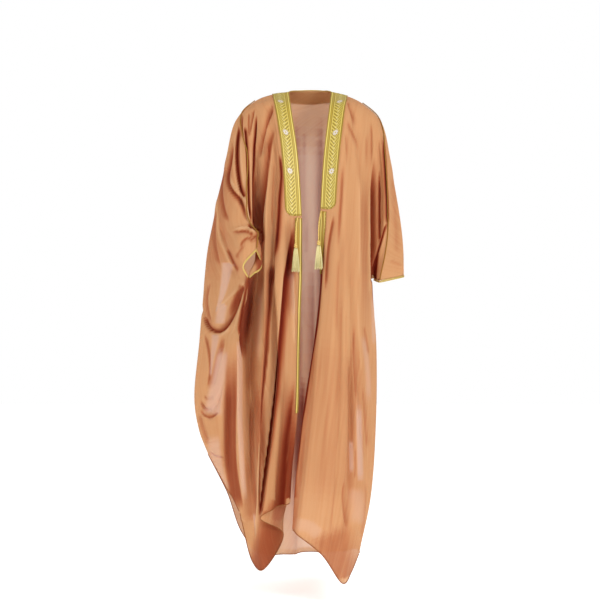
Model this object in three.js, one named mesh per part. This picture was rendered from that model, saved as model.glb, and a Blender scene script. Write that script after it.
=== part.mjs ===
// A bisht: an open-fronted cloak of sheer cloth with a gold band round the neck and down the fronts.
// Millimetres, +Z up, front towards -Y. The origin is the base of the wearer's neck, which holds it up.
// The wearer's right is at -X. The right forearm is raised forward, and the left arm hangs.
import * as THREE from "three";

// Driving sizes.
const WALL = 1.5; // cloth
const SEAM_GAP = 0.3; // between two pieces that meet edge to edge
const LAID_GAP = 0.6; // under what is sewn on a panel
const BAND = { thick: 1.4 };
const BRAID = { thick: 1.2 };
const EDGE_STRIPS = [7, 20, 36, 52]; // from the front edge: narrow braid, wide braid, band
const PIPING_RADIUS = 1.8;
const PIPING_INSET = 3;
const CUFF = { width: 6.5, thick: 1.6, inset: 12, gapRight: 1.2, gapLeft: 0.5 };
const HEM = { radius: 1.4, inset: 5, gap: 0.5 };
const TASSEL = {
  cordRadius: 2, headRadius: 7, headLength: 16, skirtTop: 5, skirtBottom: 13, skirtLength: 74, sides: 10,
};
const FOLD = { fadeIn: 0.25, fadeOut: 0.2, past: 0.15 }; // shares of a fold's length at its two ends
const SWAG_FADE = 0.4; // share of a swag's half width
const FRONT_FOLDS = { until: 10, fade: 60 }; // y where folds of the front start to fade, and how far

// Sections of the cloth from the neck to the hem. Each named column is a rib: a thread of the cloth
// that runs from top to bottom, given as [x, y, z] where it crosses the section.
// Right front: front edge, crest of the pleat, its inner turn, outer ridge, recess beside the arm,
// side seam (below the cuff) or fold inside the sleeve (above it), and shoulder seam.
const FRONT_RIGHT = [
  { at: "neck", edge: [-65, 8, 24], crest: [-124, 8, 15], turn: [-131, 8, 13], ridge: [-139, 7, 10],
    recess: [-148, 7, 6], side: [-155, 7, 4], lip: [-162, 6, 1], seam: [-168, 6, -1] },
  { at: "shoulder", edge: [-58, -75, -35], crest: [-116, -79, -23], turn: [-124, -74, -23],
    ridge: [-142, -66, -25], recess: [-170, -50, -31], side: [-194, -34, -39], lip: [-204, -26, -43],
    seam: [-213, -18, -47] },
  { at: "chest", edge: [-38, -130, -180], crest: [-93, -150, -178], turn: [-101, -128, -178],
    ridge: [-132, -145, -178], recess: [-164, -98, -180], side: [-177, -112, -180], lip: [-186, -117, -180],
    seam: [-194, -117, -180] },
  { at: "elbow", edge: [-26, -145, -364], crest: [-100, -162, -366], turn: [-108, -136, -368],
    ridge: [-136, -160, -372], recess: [-164, -84, -378], side: [-172, -142, -382], lip: [-179, -149, -380],
    seam: [-187, -154, -376] },
  { at: "forearm", edge: [-26, -147, -455], crest: [-105, -167, -458], turn: [-111, -138, -460],
    ridge: [-138, -164, -462], recess: [-163, -80, -472], side: [-164, -150, -484], lip: [-148, -168, -452],
    seam: [-158, -198, -418] },
  { at: "cuff", edge: [-26, -150, -540], crest: [-108, -170, -545], turn: [-112, -138, -548],
    ridge: [-138, -166, -550], recess: [-163, -76, -558], side: [-186, -226, -552], lip: [-149, -172, -508],
    seam: [-161, -214, -464] },
  { at: "hip", edge: [-33, -155, -740], crest: [-96, -182, -745], turn: [-94, -138, -750],
    ridge: [-140, -170, -752], recess: [-186, -72, -748], side: [-215, -206, -745], lip: null, seam: null },
  { at: "thigh", edge: [-38, -160, -960], crest: [-110, -190, -965], turn: [-92, -128, -975],
    ridge: [-152, -168, -985], recess: [-180, -106, -975], side: [-220, -168, -960], lip: null, seam: null },
  { at: "shin", edge: [-54, -162, -1130], crest: [-132, -192, -1160], turn: [-88, -112, -1200],
    ridge: [-158, -150, -1240], recess: [-174, -110, -1220], side: [-218, -126, -1130],
    lip: null, seam: null },
  { at: "hem", edge: [-60, -162, -1231], crest: [-150, -186, -1270], turn: [-82, -98, -1338],
    ridge: [-146, -128, -1440], recess: [-176, -86, -1424], side: [-216, -92, -1270], lip: null, seam: null },
];

// Left front: front edge, middle, outer middle, recess beside the arm, side seam or the fold inside
// the sleeve, and shoulder seam.
const FRONT_LEFT = [
  { at: "neck", edge: [65, 8, 25], middle: [122, 8, 10], outer: [133, 7, 5], recess: [143, 7, 0],
    side: [152, 6, -4], seam: [160, 6, -8] },
  { at: "shoulder", edge: [58, -75, -35], middle: [116, -78, -23], outer: [156, -60, -28],
    recess: [184, -40, -41], side: [203, -24, -52], seam: [213, -10, -58] },
  { at: "chest", edge: [41, -130, -180], middle: [100, -152, -178], outer: [150, -128, -180],
    recess: [186, -92, -182], side: [219, -98, -184], seam: [231, -84, -184] },
  { at: "elbow", edge: [31, -143, -342], middle: [93, -172, -350], outer: [150, -150, -362],
    recess: [188, -78, -375], side: [228, -102, -378], seam: [238, -90, -378] },
  { at: "forearm", edge: [28, -150, -444], middle: [91, -180, -450], outer: [150, -160, -460],
    recess: [186, -80, -465], side: [212, -88, -467], seam: [231, -90, -468] },
  { at: "cuff", edge: [26, -155, -540], middle: [90, -186, -548], outer: [150, -166, -552],
    recess: [182, -84, -556], side: [191, -62, -556], seam: [213, -82, -562] },
  { at: "hip", edge: [6, -170, -740], middle: [80, -198, -748], outer: [148, -178, -752],
    recess: [188, -104, -755], side: [204, -62, -755], seam: null },
  { at: "thigh", edge: [-24, -188, -960], middle: [62, -212, -968], outer: [142, -188, -980],
    recess: [184, -118, -985], side: [203, -70, -985], seam: null },
  { at: "shin", edge: [-46, -198, -1160], middle: [45, -224, -1190], outer: [128, -198, -1220],
    recess: [168, -132, -1225], side: [186, -82, -1225], seam: null },
  { at: "hem", edge: [-57, -200, -1307], middle: [33, -226, -1374], outer: [98, -204, -1465],
    recess: [126, -142, -1440], side: [150, -92, -1395], seam: null },
];

// Right half of the back: shoulder seam, fold under the forearm (the side seam below the cuff),
// outermost line, rear side, shoulder blade, and centre back, which both halves share.
const BACK_RIGHT = [
  { at: "neck", seam: [-65, 8, 24], lip: [-63, 17, 26], side: [-60, 26, 28], outer: [-50, 44, 31],
    rear: [-36, 59, 33], blade: [-18, 69, 35], centre: [0, 73, 36] },
  { at: "yoke", seam: [-116.6, 8, 18], lip: [-117, 19, 17], side: [-117, 30, 15], outer: [-106, 60, 9],
    rear: [-80, 88, 2], blade: [-42, 106, -3], centre: [0, 112, -5] },
  { at: "slope", seam: [-168, 6, -1], lip: [-172, 16, -4], side: [-174, 28, -8], outer: [-168, 54, -15],
    rear: [-138, 84, -20], blade: [-76, 108, -22], centre: [0, 119, -22] },
  { at: "shoulder", seam: [-213, -18, -47], lip: [-220, -10, -51], side: [-226, -2, -56],
    outer: [-229, 24, -60], rear: [-192, 74, -50], blade: [-104, 110, -40], centre: [0, 124, -40] },
  { at: "chest", seam: [-194, -117, -180], lip: [-217, -104, -182], side: [-238, -82, -182],
    outer: [-262, -12, -184], rear: [-226, 76, -182], blade: [-122, 126, -180], centre: [0, 138, -180] },
  { at: "elbow", seam: [-187, -154, -376], lip: [-222, -152, -384], side: [-266, -114, -388],
    outer: [-302, -18, -372], rear: [-266, 88, -370], blade: [-134, 142, -368], centre: [0, 150, -366] },
  { at: "forearm", seam: [-158, -198, -418], lip: [-214, -202, -444], side: [-252, -152, -470],
    outer: [-318, -32, -466], rear: [-280, 84, -464], blade: [-140, 147, -461], centre: [0, 155, -458] },
  { at: "cuff", seam: [-161, -214, -464], lip: [-201, -234, -514], side: [-186, -226, -552],
    outer: [-326, -46, -560], rear: [-290, 78, -558], blade: [-146, 150, -554], centre: [0, 158, -550] },
  { at: "hip", seam: null, lip: null, side: [-215, -206, -745], outer: [-340, -64, -745],
    rear: [-300, 68, -745], blade: [-152, 158, -742], centre: [0, 170, -740] },
  { at: "thigh", seam: null, lip: null, side: [-220, -168, -960], outer: [-356, -62, -930],
    rear: [-304, 62, -945], blade: [-162, 168, -960], centre: [0, 186, -960] },
  { at: "shin", seam: null, lip: null, side: [-218, -126, -1130], outer: [-342, -46, -1030],
    rear: [-284, 66, -1090], blade: [-172, 168, -1210], centre: [0, 202, -1200] },
  { at: "hem", seam: null, lip: null, side: [-216, -92, -1270], outer: [-316, -34, -1100],
    rear: [-264, 62, -1225], blade: [-180, 140, -1430], centre: [0, 216, -1448] },
];

// Left half of the back: shoulder seam, outermost line of the sleeve, its rear, the fold inside the
// sleeve (the side seam below the cuff), rear side, and shoulder blade.
const BACK_LEFT = [
  { at: "neck", seam: [65, 8, 25], outer: [60, 26, 28], sleeve: [52, 42, 31], side: [42, 54, 32],
    rear: [30, 63, 34], blade: [16, 70, 35.5], centre: [0, 73, 36] },
  { at: "yoke", seam: [115.5, 8, 13], outer: [116, 28, 11], sleeve: [108, 54, 7], side: [92, 76, 3],
    rear: [68, 94, 0], blade: [36, 107, -3], centre: [0, 112, -5] },
  { at: "slope", seam: [160, 6, -8], outer: [165, 24, -15], sleeve: [160, 50, -18], side: [140, 74, -20],
    rear: [106, 96, -22], blade: [60, 110, -22], centre: [0, 119, -22] },
  { at: "shoulder", seam: [213, -10, -58], outer: [222, 10, -68], sleeve: [214, 42, -70],
    side: [186, 74, -62], rear: [146, 98, -52], blade: [90, 112, -44], centre: [0, 124, -40] },
  { at: "chest", seam: [231, -84, -184], outer: [250, -18, -186], sleeve: [238, 48, -186],
    side: [202, 92, -184], rear: [154, 118, -182], blade: [92, 132, -180], centre: [0, 138, -180] },
  { at: "elbow", seam: [238, -90, -378], outer: [281, -20, -376], sleeve: [264, 46, -376],
    side: [206, 62, -374], rear: [166, 110, -372], blade: [104, 142, -370], centre: [0, 150, -366] },
  { at: "forearm", seam: [231, -90, -468], outer: [290, -18, -462], sleeve: [264, 46, -464],
    side: [206, 30, -466], rear: [180, 100, -465], blade: [110, 147, -463], centre: [0, 155, -458] },
  { at: "cuff", seam: [213, -82, -562], outer: [292, -14, -546], sleeve: [258, 44, -552],
    side: [191, -62, -556], rear: [190, 66, -556], blade: [116, 150, -554], centre: [0, 158, -550] },
  { at: "hip", seam: null, outer: null, sleeve: null, side: [204, -62, -755],
    rear: [196, 70, -750], blade: [124, 156, -745], centre: [0, 170, -740] },
  { at: "thigh", seam: null, outer: null, sleeve: null, side: [203, -70, -985],
    rear: [197, 76, -975], blade: [128, 170, -965], centre: [0, 186, -960] },
  { at: "shin", seam: null, outer: null, sleeve: null, side: [186, -82, -1225],
    rear: [182, 82, -1215], blade: [126, 186, -1205], centre: [0, 202, -1200] },
  { at: "hem", seam: null, outer: null, sleeve: null, side: [150, -92, -1395],
    rear: [158, 74, -1412], blade: [118, 188, -1440], centre: [0, 216, -1448] },
];

// Steps of the mesh between neighbouring sections and between neighbouring ribs.
const DOWN = [3, 3, 2, 2, 2, 3, 2, 2, 2];
const DOWN_BACK = [1, 1, ...DOWN];
const ACROSS_FRONT_RIGHT = [5, 2, 3, 3, 4, 3, 2];
const ACROSS_FRONT_LEFT = [5, 4, 4, 3, 2];
const ACROSS_BACK_RIGHT = [3, 3, 4, 4, 5, 5];
const ACROSS_BACK_LEFT = [3, 3, 3, 4, 4, 5];

// Folds that run down the cloth: where each starts and ends, its x at the top, middle and bottom,
// how deep its trough is and its half width.
const FOLDS_FRONT = [
  { top: -5, bottom: -165, x: [-124, -130, -152], deep: 9, wide: 12 },
  { top: -60, bottom: -430, x: [-104, -140, -158], deep: 24, wide: 15 },
  { top: -120, bottom: -520, x: [-84, -98, -106], deep: 10, wide: 9 },
  { top: -85, bottom: -310, x: [-222, -227, -212], deep: 16, wide: 9 },
  { top: -200, bottom: -320, x: [-256, -250, -216], deep: 12, wide: 10 },
  { top: -380, bottom: -535, x: [-276, -262, -230], deep: 12, wide: 11 },
  { top: -350, bottom: -640, x: [-60, -58, -54], deep: 20, wide: 13 },
  { top: -690, bottom: -1060, x: [-126, -133, -140], deep: 10, wide: 9 },
  { top: -820, bottom: -1260, x: [-64, -76, -96], deep: 24, wide: 14 },
  { top: -860, bottom: -1130, x: [-252, -258, -262], deep: 16, wide: 12 },
  { top: -5, bottom: -240, x: [122, 142, 156], deep: 8, wide: 10 },
  { top: -95, bottom: -400, x: [208, 211, 212], deep: 12, wide: 8 },
  { top: -330, bottom: -900, x: [92, 88, 84], deep: 8, wide: 11 },
  { top: -380, bottom: -1180, x: [124, 126, 126], deep: 9, wide: 11 },
  { top: -700, bottom: -1060, x: [144, 150, 165], deep: 12, wide: 9 },
  { top: -730, bottom: -1300, x: [118, 124, 104], deep: 13, wide: 10 },
  { top: -400, bottom: -1300, x: [30, 0, -52], deep: 16, wide: 11 },
];
const FOLDS_BACK = [
  { top: -70, bottom: -760, x: [-196, -220, -230], deep: 16, wide: 17 },
  { top: -30, bottom: -1330, x: [-118, -158, -196], deep: 24, wide: 19 },
  { top: -120, bottom: -1450, x: [-74, -96, -128], deep: 18, wide: 15 },
  { top: -20, bottom: -1460, x: [-40, -48, -60], deep: 26, wide: 18 },
  { top: -200, bottom: -1100, x: [-8, -4, 2], deep: 14, wide: 13 },
  { top: -40, bottom: -1460, x: [34, 42, 46], deep: 24, wide: 17 },
  { top: -150, bottom: -1300, x: [78, 92, 98], deep: 17, wide: 14 },
  { top: -50, bottom: -1420, x: [122, 142, 144], deep: 20, wide: 16 },
  { top: -330, bottom: -1000, x: [160, 176, 178], deep: 12, wide: 12 },
];

// Swags that hang from the raised forearm: the lowest point of each U-shaped trough, how far it
// reaches and how high it climbs on either side.
const SWAGS = [
  { x: -298, z: -716, out: 44, outRise: 84, back: 96, backRise: 118, deep: 13, wide: 13 },
  { x: -306, z: -972, out: 38, outRise: 56, back: 44, backRise: 120, deep: 11, wide: 13 },
];

const vec = (p) => new THREE.Vector3(...p);
const numbers = (from, to) => Array.from({ length: to - from + 1 }, (_, i) => from + i);
const sum = (steps) => steps.reduce((a, b) => a + b, 0);

// Points on a smooth curve through the given ones, with the given steps between neighbours.
function through(points, steps) {
  const curve = new THREE.CatmullRomCurve3(points, false, "centripetal");
  const gaps = points.length - 1;
  const line = [points[0].clone()];
  for (let i = 0; i < gaps; i++) {
    for (let k = 1; k <= steps[i]; k++) line.push(curve.getPoint((i + k / steps[i]) / gaps));
  }
  return line;
}

// The grid of a panel: ribs first, down the sections, then a row across the ribs at each step.
// Where ribs end at the cuff, the rows below hold fewer points.
function weave(sections, ribs, down, across) {
  const lines = ribs.map((rib) => {
    const points = sections.map((s) => s[rib]).filter(Boolean).map(vec);
    return through(points, down.slice(0, points.length - 1));
  });
  const grid = [];
  for (let r = 0; r <= sum(down); r++) {
    const from = lines.findIndex((line) => r < line.length);
    const to = lines.findLastIndex((line) => r < line.length);
    const row = through(lines.slice(from, to + 1).map((line) => line[r]), across.slice(from, to));
    const skipped = new Array(sum(across.slice(0, from))).fill(null);
    const ended = new Array(sum(across.slice(to))).fill(null);
    grid.push([...skipped, ...row, ...ended]);
  }
  return grid;
}

// A normal at each point of a grid, from the points around it. facing is -1 where the rows run
// towards +X on the front, and would otherwise face in.
function normalsOf(grid, facing) {
  const at = (r, c) => grid[r]?.[c] ?? null;
  return grid.map((row, r) =>
    row.map((p, c) => {
      if (!p) return null;
      const along = new THREE.Vector3().subVectors(at(r, c + 1) ?? p, at(r, c - 1) ?? p);
      const down = new THREE.Vector3().subVectors(at(r + 1, c) ?? p, at(r - 1, c) ?? p);
      return along.cross(down).normalize().multiplyScalar(facing);
    }),
  );
}

const bump = (t) => Math.exp(-t * t);
const rise = (t) => THREE.MathUtils.smoothstep(t, 0, 1);

// How far the folds press the cloth in at a place.
function foldDepth(x, z, folds) {
  let push = 0;
  for (const f of folds) {
    const t = (f.top - z) / (f.top - f.bottom);
    const left = 1 + FOLD.past - t;
    if (t <= 0 || left <= 0) continue;
    const [a, b, c] = f.x;
    const middle = a * (1 - t) * (1 - 2 * t) + 4 * b * t * (1 - t) + c * t * (2 * t - 1);
    push += f.deep * rise(t / FOLD.fadeIn) * rise(left / FOLD.fadeOut) * bump((x - middle) / f.wide);
  }
  return push;
}

// The same for the swags, whose troughs are parabolas that turn up on both sides.
function swagDepth(x, y, z) {
  let push = 0;
  for (const s of SWAGS) {
    const outward = x < s.x;
    const t = Math.abs(x - s.x) / (outward ? s.out : s.back);
    if (t > 1) continue;
    const low = s.z + t * t * (outward ? s.outRise : s.backRise);
    push += s.deep * rise((1 - t) / SWAG_FADE) * bump((z - low) / s.wide);
  }
  return y < 0 ? push : 0;
}

// Presses the folds into a grid, along its normals. Front folds fade out towards the rear.
function crease(grid, facing) {
  const normals = normalsOf(grid, facing);
  return grid.map((row, r) =>
    row.map((p, c) => {
      if (!p) return null;
      const front = rise((FRONT_FOLDS.until - p.y) / FRONT_FOLDS.fade);
      const push =
        front * foldDepth(p.x, p.z, FOLDS_FRONT) +
        (1 - front) * foldDepth(p.x, p.z, FOLDS_BACK) +
        swagDepth(p.x, p.y, p.z);
      return p.clone().addScaledVector(normals[r][c], -push);
    }),
  );
}

// Moves the first points of each row, from the front edge, to the lengths of EDGE_STRIPS, so that
// what is sewn along the edge can share them.
function spaceEdge(grid) {
  for (const row of grid) {
    const line = [...row];
    let c = 0;
    let passed = 0;
    EDGE_STRIPS.forEach((wanted, k) => {
      while (line[c + 2] && passed + line[c].distanceTo(line[c + 1]) < wanted) {
        passed += line[c].distanceTo(line[c + 1]);
        c++;
      }
      const part = (wanted - passed) / line[c].distanceTo(line[c + 1]);
      row[k + 1] = line[c].clone().lerp(line[c + 1], Math.min(part, 1));
    });
  }
}

// A panel: its creased grid and the normals on it.
function panel(sections, ribs, down, across, facing = 1) {
  const grid = crease(weave(sections, ribs, down, across), facing);
  if (ribs[0] === "edge") spaceEdge(grid);
  return { grid, normals: normalsOf(grid, facing) };
}

// Joins two panels along a seam: both get the same points and normals there, then each draws back
// by half of the seam's gap, towards its own inside.
function sew(one, other, places) {
  for (const [a, aInside, b, bInside] of places) {
    const point = one.grid[a[0]][a[1]].clone().add(other.grid[b[0]][b[1]]).multiplyScalar(0.5);
    const normal = one.normals[a[0]][a[1]].clone().add(other.normals[b[0]][b[1]]).normalize();
    for (const [piece, own, inside] of [[one, a, aInside], [other, b, bInside]]) {
      const back = piece.grid[inside[0]][inside[1]].clone().sub(point);
      back.addScaledVector(normal, -back.dot(normal)).normalize();
      piece.grid[own[0]][own[1]] = point.clone().addScaledVector(back, SEAM_GAP / 2);
      piece.normals[own[0]][own[1]] = normal;
    }
  }
}

// A closed solid from a grid of points: an outer skin, an inner skin and walls round the edge.
// outer and inner say how far each skin is moved along the normals.
function shell(grid, normals, outer, inner) {
  const rows = grid.length;
  const cols = grid[0].length;
  const index = grid.map((row) => row.map(() => -1));
  const used = [];
  const quads = [];
  for (let r = 0; r + 1 < rows; r++) {
    for (let c = 0; c + 1 < cols; c++) {
      const corners = [[r, c], [r, c + 1], [r + 1, c + 1], [r + 1, c]];
      if (corners.some(([i, k]) => !grid[i][k])) continue;
      for (const [i, k] of corners) if (index[i][k] < 0) index[i][k] = used.push([i, k]) - 1;
      quads.push(corners.map(([i, k]) => index[i][k]));
    }
  }
  const count = used.length;
  const points = [outer, inner].flatMap((shift) =>
    used.map(([r, c]) => grid[r][c].clone().addScaledVector(normals[r][c], shift)),
  );
  const faces = [];
  const sides = new Map();
  for (const [a, b, c, d] of quads) {
    faces.push([a, d, b], [b, d, c]);
    faces.push([a + count, b + count, d + count], [b + count, c + count, d + count]);
    for (const [m, n] of [[a, b], [b, c], [c, d], [d, a]]) {
      if (!sides.delete(`${n},${m}`)) sides.set(`${m},${n}`, [m, n]);
    }
  }
  // Walls, split the same way on both pieces of a seam, so that they stay parallel.
  for (const [m, n] of sides.values()) {
    if (m < n) faces.push([m, n, n + count], [m, n + count, m + count]);
    else faces.push([m, n, m + count], [n, n + count, m + count]);
  }
  return solid(points, faces);
}

// A geometry from points and triangles, turned so that its faces point outwards.
function solid(points, faces) {
  let volume = 0;
  for (const [a, b, c] of faces) volume += points[a].dot(points[b].clone().cross(points[c]));
  const geometry = new THREE.BufferGeometry();
  geometry.setAttribute("position", new THREE.Float32BufferAttribute(points.flatMap((p) => p.toArray()), 3));
  geometry.setIndex(faces.flatMap(([a, b, c]) => (volume > 0 ? [a, b, c] : [a, c, b])));
  geometry.computeVertexNormals();
  return geometry;
}

// A flat or square cord along a line of points, that lies on what faces the given way. wide and
// thick are its half sizes across.
function cord(line, facing, wide, thick, sidesRound = 4) {
  const last = line.length - 1;
  const spread = Math.cos(Math.PI / sidesRound);
  const points = line.flatMap((p, i) => {
    const run = line[Math.min(i + 1, last)].clone().sub(line[Math.max(i - 1, 0)]).normalize();
    const across = facing[i].clone().cross(run).normalize();
    const out = run.clone().cross(across).normalize();
    return Array.from({ length: sidesRound }, (_, k) => {
      const turn = (2 * Math.PI * (k + 0.5)) / sidesRound;
      const [w, t] = [(Math.cos(turn) * wide) / spread, (Math.sin(turn) * thick) / spread];
      return p.clone().addScaledVector(across, w).addScaledVector(out, t);
    });
  });
  const faces = [];
  for (let i = 0; i < last; i++) {
    for (let k = 0; k < sidesRound; k++) {
      const [a, b] = [i * sidesRound + k, i * sidesRound + ((k + 1) % sidesRound)];
      faces.push([a, b, a + sidesRound], [b, b + sidesRound, a + sidesRound]);
    }
  }
  for (let k = 1; k + 1 < sidesRound; k++) {
    const end = last * sidesRound;
    faces.push([0, k + 1, k], [end, end + k, end + k + 1]);
  }
  return solid(points, faces);
}

// A line and what it faces, with the given lengths taken off its two ends.
function shortened(line, facing, fromStart, fromEnd) {
  const cutStart = (points, normals, length) => {
    let left = length;
    let i = 0;
    while (points[i].distanceTo(points[i + 1]) <= left) left -= points[i].distanceTo(points[++i]);
    const start = points[i].clone().lerp(points[i + 1], left / points[i].distanceTo(points[i + 1]));
    return [[start, ...points.slice(i + 1)], [normals[i], ...normals.slice(i + 1)]];
  };
  const [points, normals] = cutStart(line, facing, fromStart);
  const [back, backNormals] = cutStart(points.toReversed(), normals.toReversed(), fromEnd);
  return [back.toReversed(), backNormals.toReversed()];
}

const cloth = new THREE.MeshStandardMaterial({ color: "#c98a5c", roughness: 0.8, metalness: 0 });
const zari = new THREE.MeshStandardMaterial({ color: "#d3bd5c", roughness: 0.45, metalness: 0.35 });
const braid = new THREE.MeshStandardMaterial({ color: "#b8912e", roughness: 0.5, metalness: 0.3 });
const thread = new THREE.MeshStandardMaterial({ color: "#6b3a1e", roughness: 0.8, metalness: 0 });
const tassel = new THREE.MeshStandardMaterial({ color: "#e0d0a1", roughness: 0.6, metalness: 0.1 });

const cloak = new THREE.Group();
cloak.name = "bisht_cloak";
function add(name, geometry, material) {
  const mesh = new THREE.Mesh(geometry, material);
  mesh.name = name;
  cloak.add(mesh);
}

// Panels.
const right = panel(FRONT_RIGHT, ["edge", "crest", "turn", "ridge", "recess", "side", "lip", "seam"],
  DOWN, ACROSS_FRONT_RIGHT);
const left = panel(FRONT_LEFT, ["edge", "middle", "outer", "recess", "side", "seam"],
  DOWN, ACROSS_FRONT_LEFT, -1);
const back = backPanel();

function backPanel() {
  const sections = BACK_RIGHT.map((s, i) => {
    const leftRibs = Object.entries(BACK_LEFT[i]).map(([rib, p]) => [`left_${rib}`, p]);
    return { ...s, ...Object.fromEntries(leftRibs) };
  });
  const ribs = ["seam", "lip", "side", "outer", "rear", "blade", "centre"];
  const leftRibs = ["left_blade", "left_rear", "left_side", "left_sleeve", "left_outer", "left_seam"];
  return panel(sections, [...ribs, ...leftRibs], DOWN_BACK,
    [...ACROSS_BACK_RIGHT, ...ACROSS_BACK_LEFT.toReversed()]);
}

const CUFF_ROW = sum(DOWN.slice(0, 5));
const LAST_ROW = sum(DOWN);
const YOKE = DOWN_BACK[0]; // rows of the neck band
const SLOPE = YOKE + DOWN_BACK[1]; // rows of the back above the first row of the fronts

// Seams. Each place names the point on one panel, the point inside it, and the same for the other.
const RIGHT_SIDE = sum(ACROSS_FRONT_RIGHT.slice(0, 5));
const RIGHT_SEAM = sum(ACROSS_FRONT_RIGHT);
const LEFT_SIDE = sum(ACROSS_FRONT_LEFT.slice(0, 4));
const LEFT_SEAM = sum(ACROSS_FRONT_LEFT);
const BACK_RIGHT_SIDE = ACROSS_BACK_RIGHT[0] + ACROSS_BACK_RIGHT[1];
const BACK_LAST = sum(ACROSS_BACK_RIGHT) + sum(ACROSS_BACK_LEFT);
const BACK_LEFT_SIDE = BACK_LAST - sum(ACROSS_BACK_LEFT.slice(0, 3));

function sewSides(front, seam, side, backSeam, backSide, inward) {
  const bandEdge = EDGE_STRIPS.length;
  const top = [[0, 0], [YOKE, bandEdge]].map(([r, c]) => [
    [0, c], [1, c], [r, backSeam], [r, backSeam + inward],
  ]);
  const shoulder = numbers(0, CUFF_ROW).map((r) => [
    [r, seam], [Math.max(r, 1), seam - 1], [r + SLOPE, backSeam], [r + SLOPE, backSeam + inward],
  ]);
  const below = numbers(CUFF_ROW, LAST_ROW).map((r) => [
    [r, side], [r, side - 1], [r + SLOPE, backSide], [r + SLOPE, backSide + inward],
  ]);
  sew(front, back, [...top, ...shoulder, ...below]);
  for (const [from, to] of [[0, bandEdge], [bandEdge, seam]]) {
    for (const c of numbers(from + 1, to - 1)) {
      const part = (c - from) / (to - from);
      front.grid[0][c].copy(front.grid[0][from]).lerp(front.grid[0][to], part);
      front.normals[0][c].copy(front.normals[0][from]).lerp(front.normals[0][to], part).normalize();
    }
  }
}
sewSides(right, RIGHT_SEAM, RIGHT_SIDE, 0, BACK_RIGHT_SIDE, 1);
sewSides(left, LEFT_SEAM, LEFT_SIDE, BACK_LAST, BACK_LEFT_SIDE, -1);

// Cloth panels.
const clothSolid = (piece) => shell(piece.grid, piece.normals, 0, -WALL);
add("back_panel", clothSolid(back), cloth);
add("front_right", clothSolid(right), cloth);
add("front_left", clothSolid(left), cloth);

// What is sewn on a panel: the panel's own points, moved out. reach gives how many columns from the
// first one each row keeps, and rows that it leaves out keep none.
function sewnOn(piece, reach, thick) {
  const grid = piece.grid.map((row, r) => row.map((p, c) => (c <= (reach[r] ?? -1) ? p?.clone() : null)));
  return shell(grid, piece.normals, LAID_GAP + thick, LAID_GAP);
}
const rowsOf = (from, to, columns) => Object.fromEntries(numbers(from, to).map((r) => [r, columns]));
const BAND_ROW = sum(DOWN.slice(0, 3));
const THIGH_ROW = sum(DOWN.slice(0, 7));
const bandRows = rowsOf(0, BAND_ROW, EDGE_STRIPS.length);
add("zari_band_right", sewnOn(right, bandRows, BAND.thick), zari);
add("zari_band_neck", sewnOn(back, rowsOf(0, YOKE, BACK_LAST), BAND.thick), zari);
add("zari_band_left", sewnOn(left, bandRows, BAND.thick), zari);

// Braid down each front edge: two strips wide beside the tassel, then one strip down the right edge.
// It starts one seam gap below the band.
function edgeBraid(piece, reach) {
  const start = piece.grid[BAND_ROW].map((p, c) => {
    const below = piece.grid[BAND_ROW + 1][c];
    return p && below ? p.clone().lerp(below, SEAM_GAP / p.distanceTo(below)) : null;
  });
  const lowered = { grid: piece.grid.with(BAND_ROW, start), normals: piece.normals };
  return sewnOn(lowered, reach, BRAID.thick);
}
const wideRows = rowsOf(BAND_ROW, CUFF_ROW, 2);
add("front_braid_right", edgeBraid(right, { ...rowsOf(CUFF_ROW, THIGH_ROW, 1), ...wideRows }), braid);
add("front_braid_left", edgeBraid(left, wideRows), braid);

// Piping over each shoulder seam, from the band to the cuff.
function piping(front, seam, backSeam) {
  const rows = numbers(0, CUFF_ROW);
  const facing = rows.map((r) => front.normals[r][seam]);
  const line = rows.map((r, i) => {
    const middle = front.grid[r][seam].clone().lerp(back.grid[r + SLOPE][backSeam], 0.5);
    return middle.addScaledVector(facing[i], LAID_GAP + PIPING_RADIUS);
  });
  return cord(...shortened(line, facing, PIPING_INSET, PIPING_INSET), PIPING_RADIUS, PIPING_RADIUS);
}
add("shoulder_piping_right", piping(right, RIGHT_SEAM, 0), braid);
add("shoulder_piping_left", piping(left, LEFT_SEAM, BACK_LAST), braid);

// A cord fixed under an edge of cloth, given as the places [row, column, row above] along it.
function edging(places, wide, thick, inset, gap) {
  const facing = places.map(([piece, [r, c]]) => piece.normals[r][c]);
  const edge = places.map(([piece, [r, c]]) => piece.grid[r][c]);
  const line = places.map(([piece, [r, c], above], i) => {
    const run = edge[Math.min(i + 1, edge.length - 1)].clone().sub(edge[Math.max(i - 1, 0)]).normalize();
    const down = edge[i].clone().sub(piece.grid[above][c]);
    down.addScaledVector(run, -down.dot(run)).normalize();
    return edge[i].clone().addScaledVector(facing[i], -WALL / 2).addScaledVector(down, gap + wide);
  });
  return cord(...shortened(line, facing, inset, inset), wide, thick);
}

// Cuff braid: along the front lip from the side seam up to the shoulder seam, and back along the
// outer lip.
function cuff(front, side, seam, backSeam, backSide, gap) {
  const frontLip = numbers(side, seam).map((c) => [front, [CUFF_ROW, c], CUFF_ROW - 1]);
  const backRow = CUFF_ROW + SLOPE;
  const step = Math.sign(backSide - backSeam);
  const backLip = numbers(1, Math.abs(backSide - backSeam))
    .map((i) => [back, [backRow, backSeam + i * step], backRow - 1]);
  return edging([...frontLip, ...backLip], CUFF.width / 2, CUFF.thick / 2, CUFF.inset, gap);
}
add("cuff_braid_right", cuff(right, RIGHT_SIDE, RIGHT_SEAM, 0, BACK_RIGHT_SIDE, CUFF.gapRight), braid);
add("cuff_braid_left", cuff(left, LEFT_SIDE, LEFT_SEAM, BACK_LAST, BACK_LEFT_SIDE, CUFF.gapLeft), braid);

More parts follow.
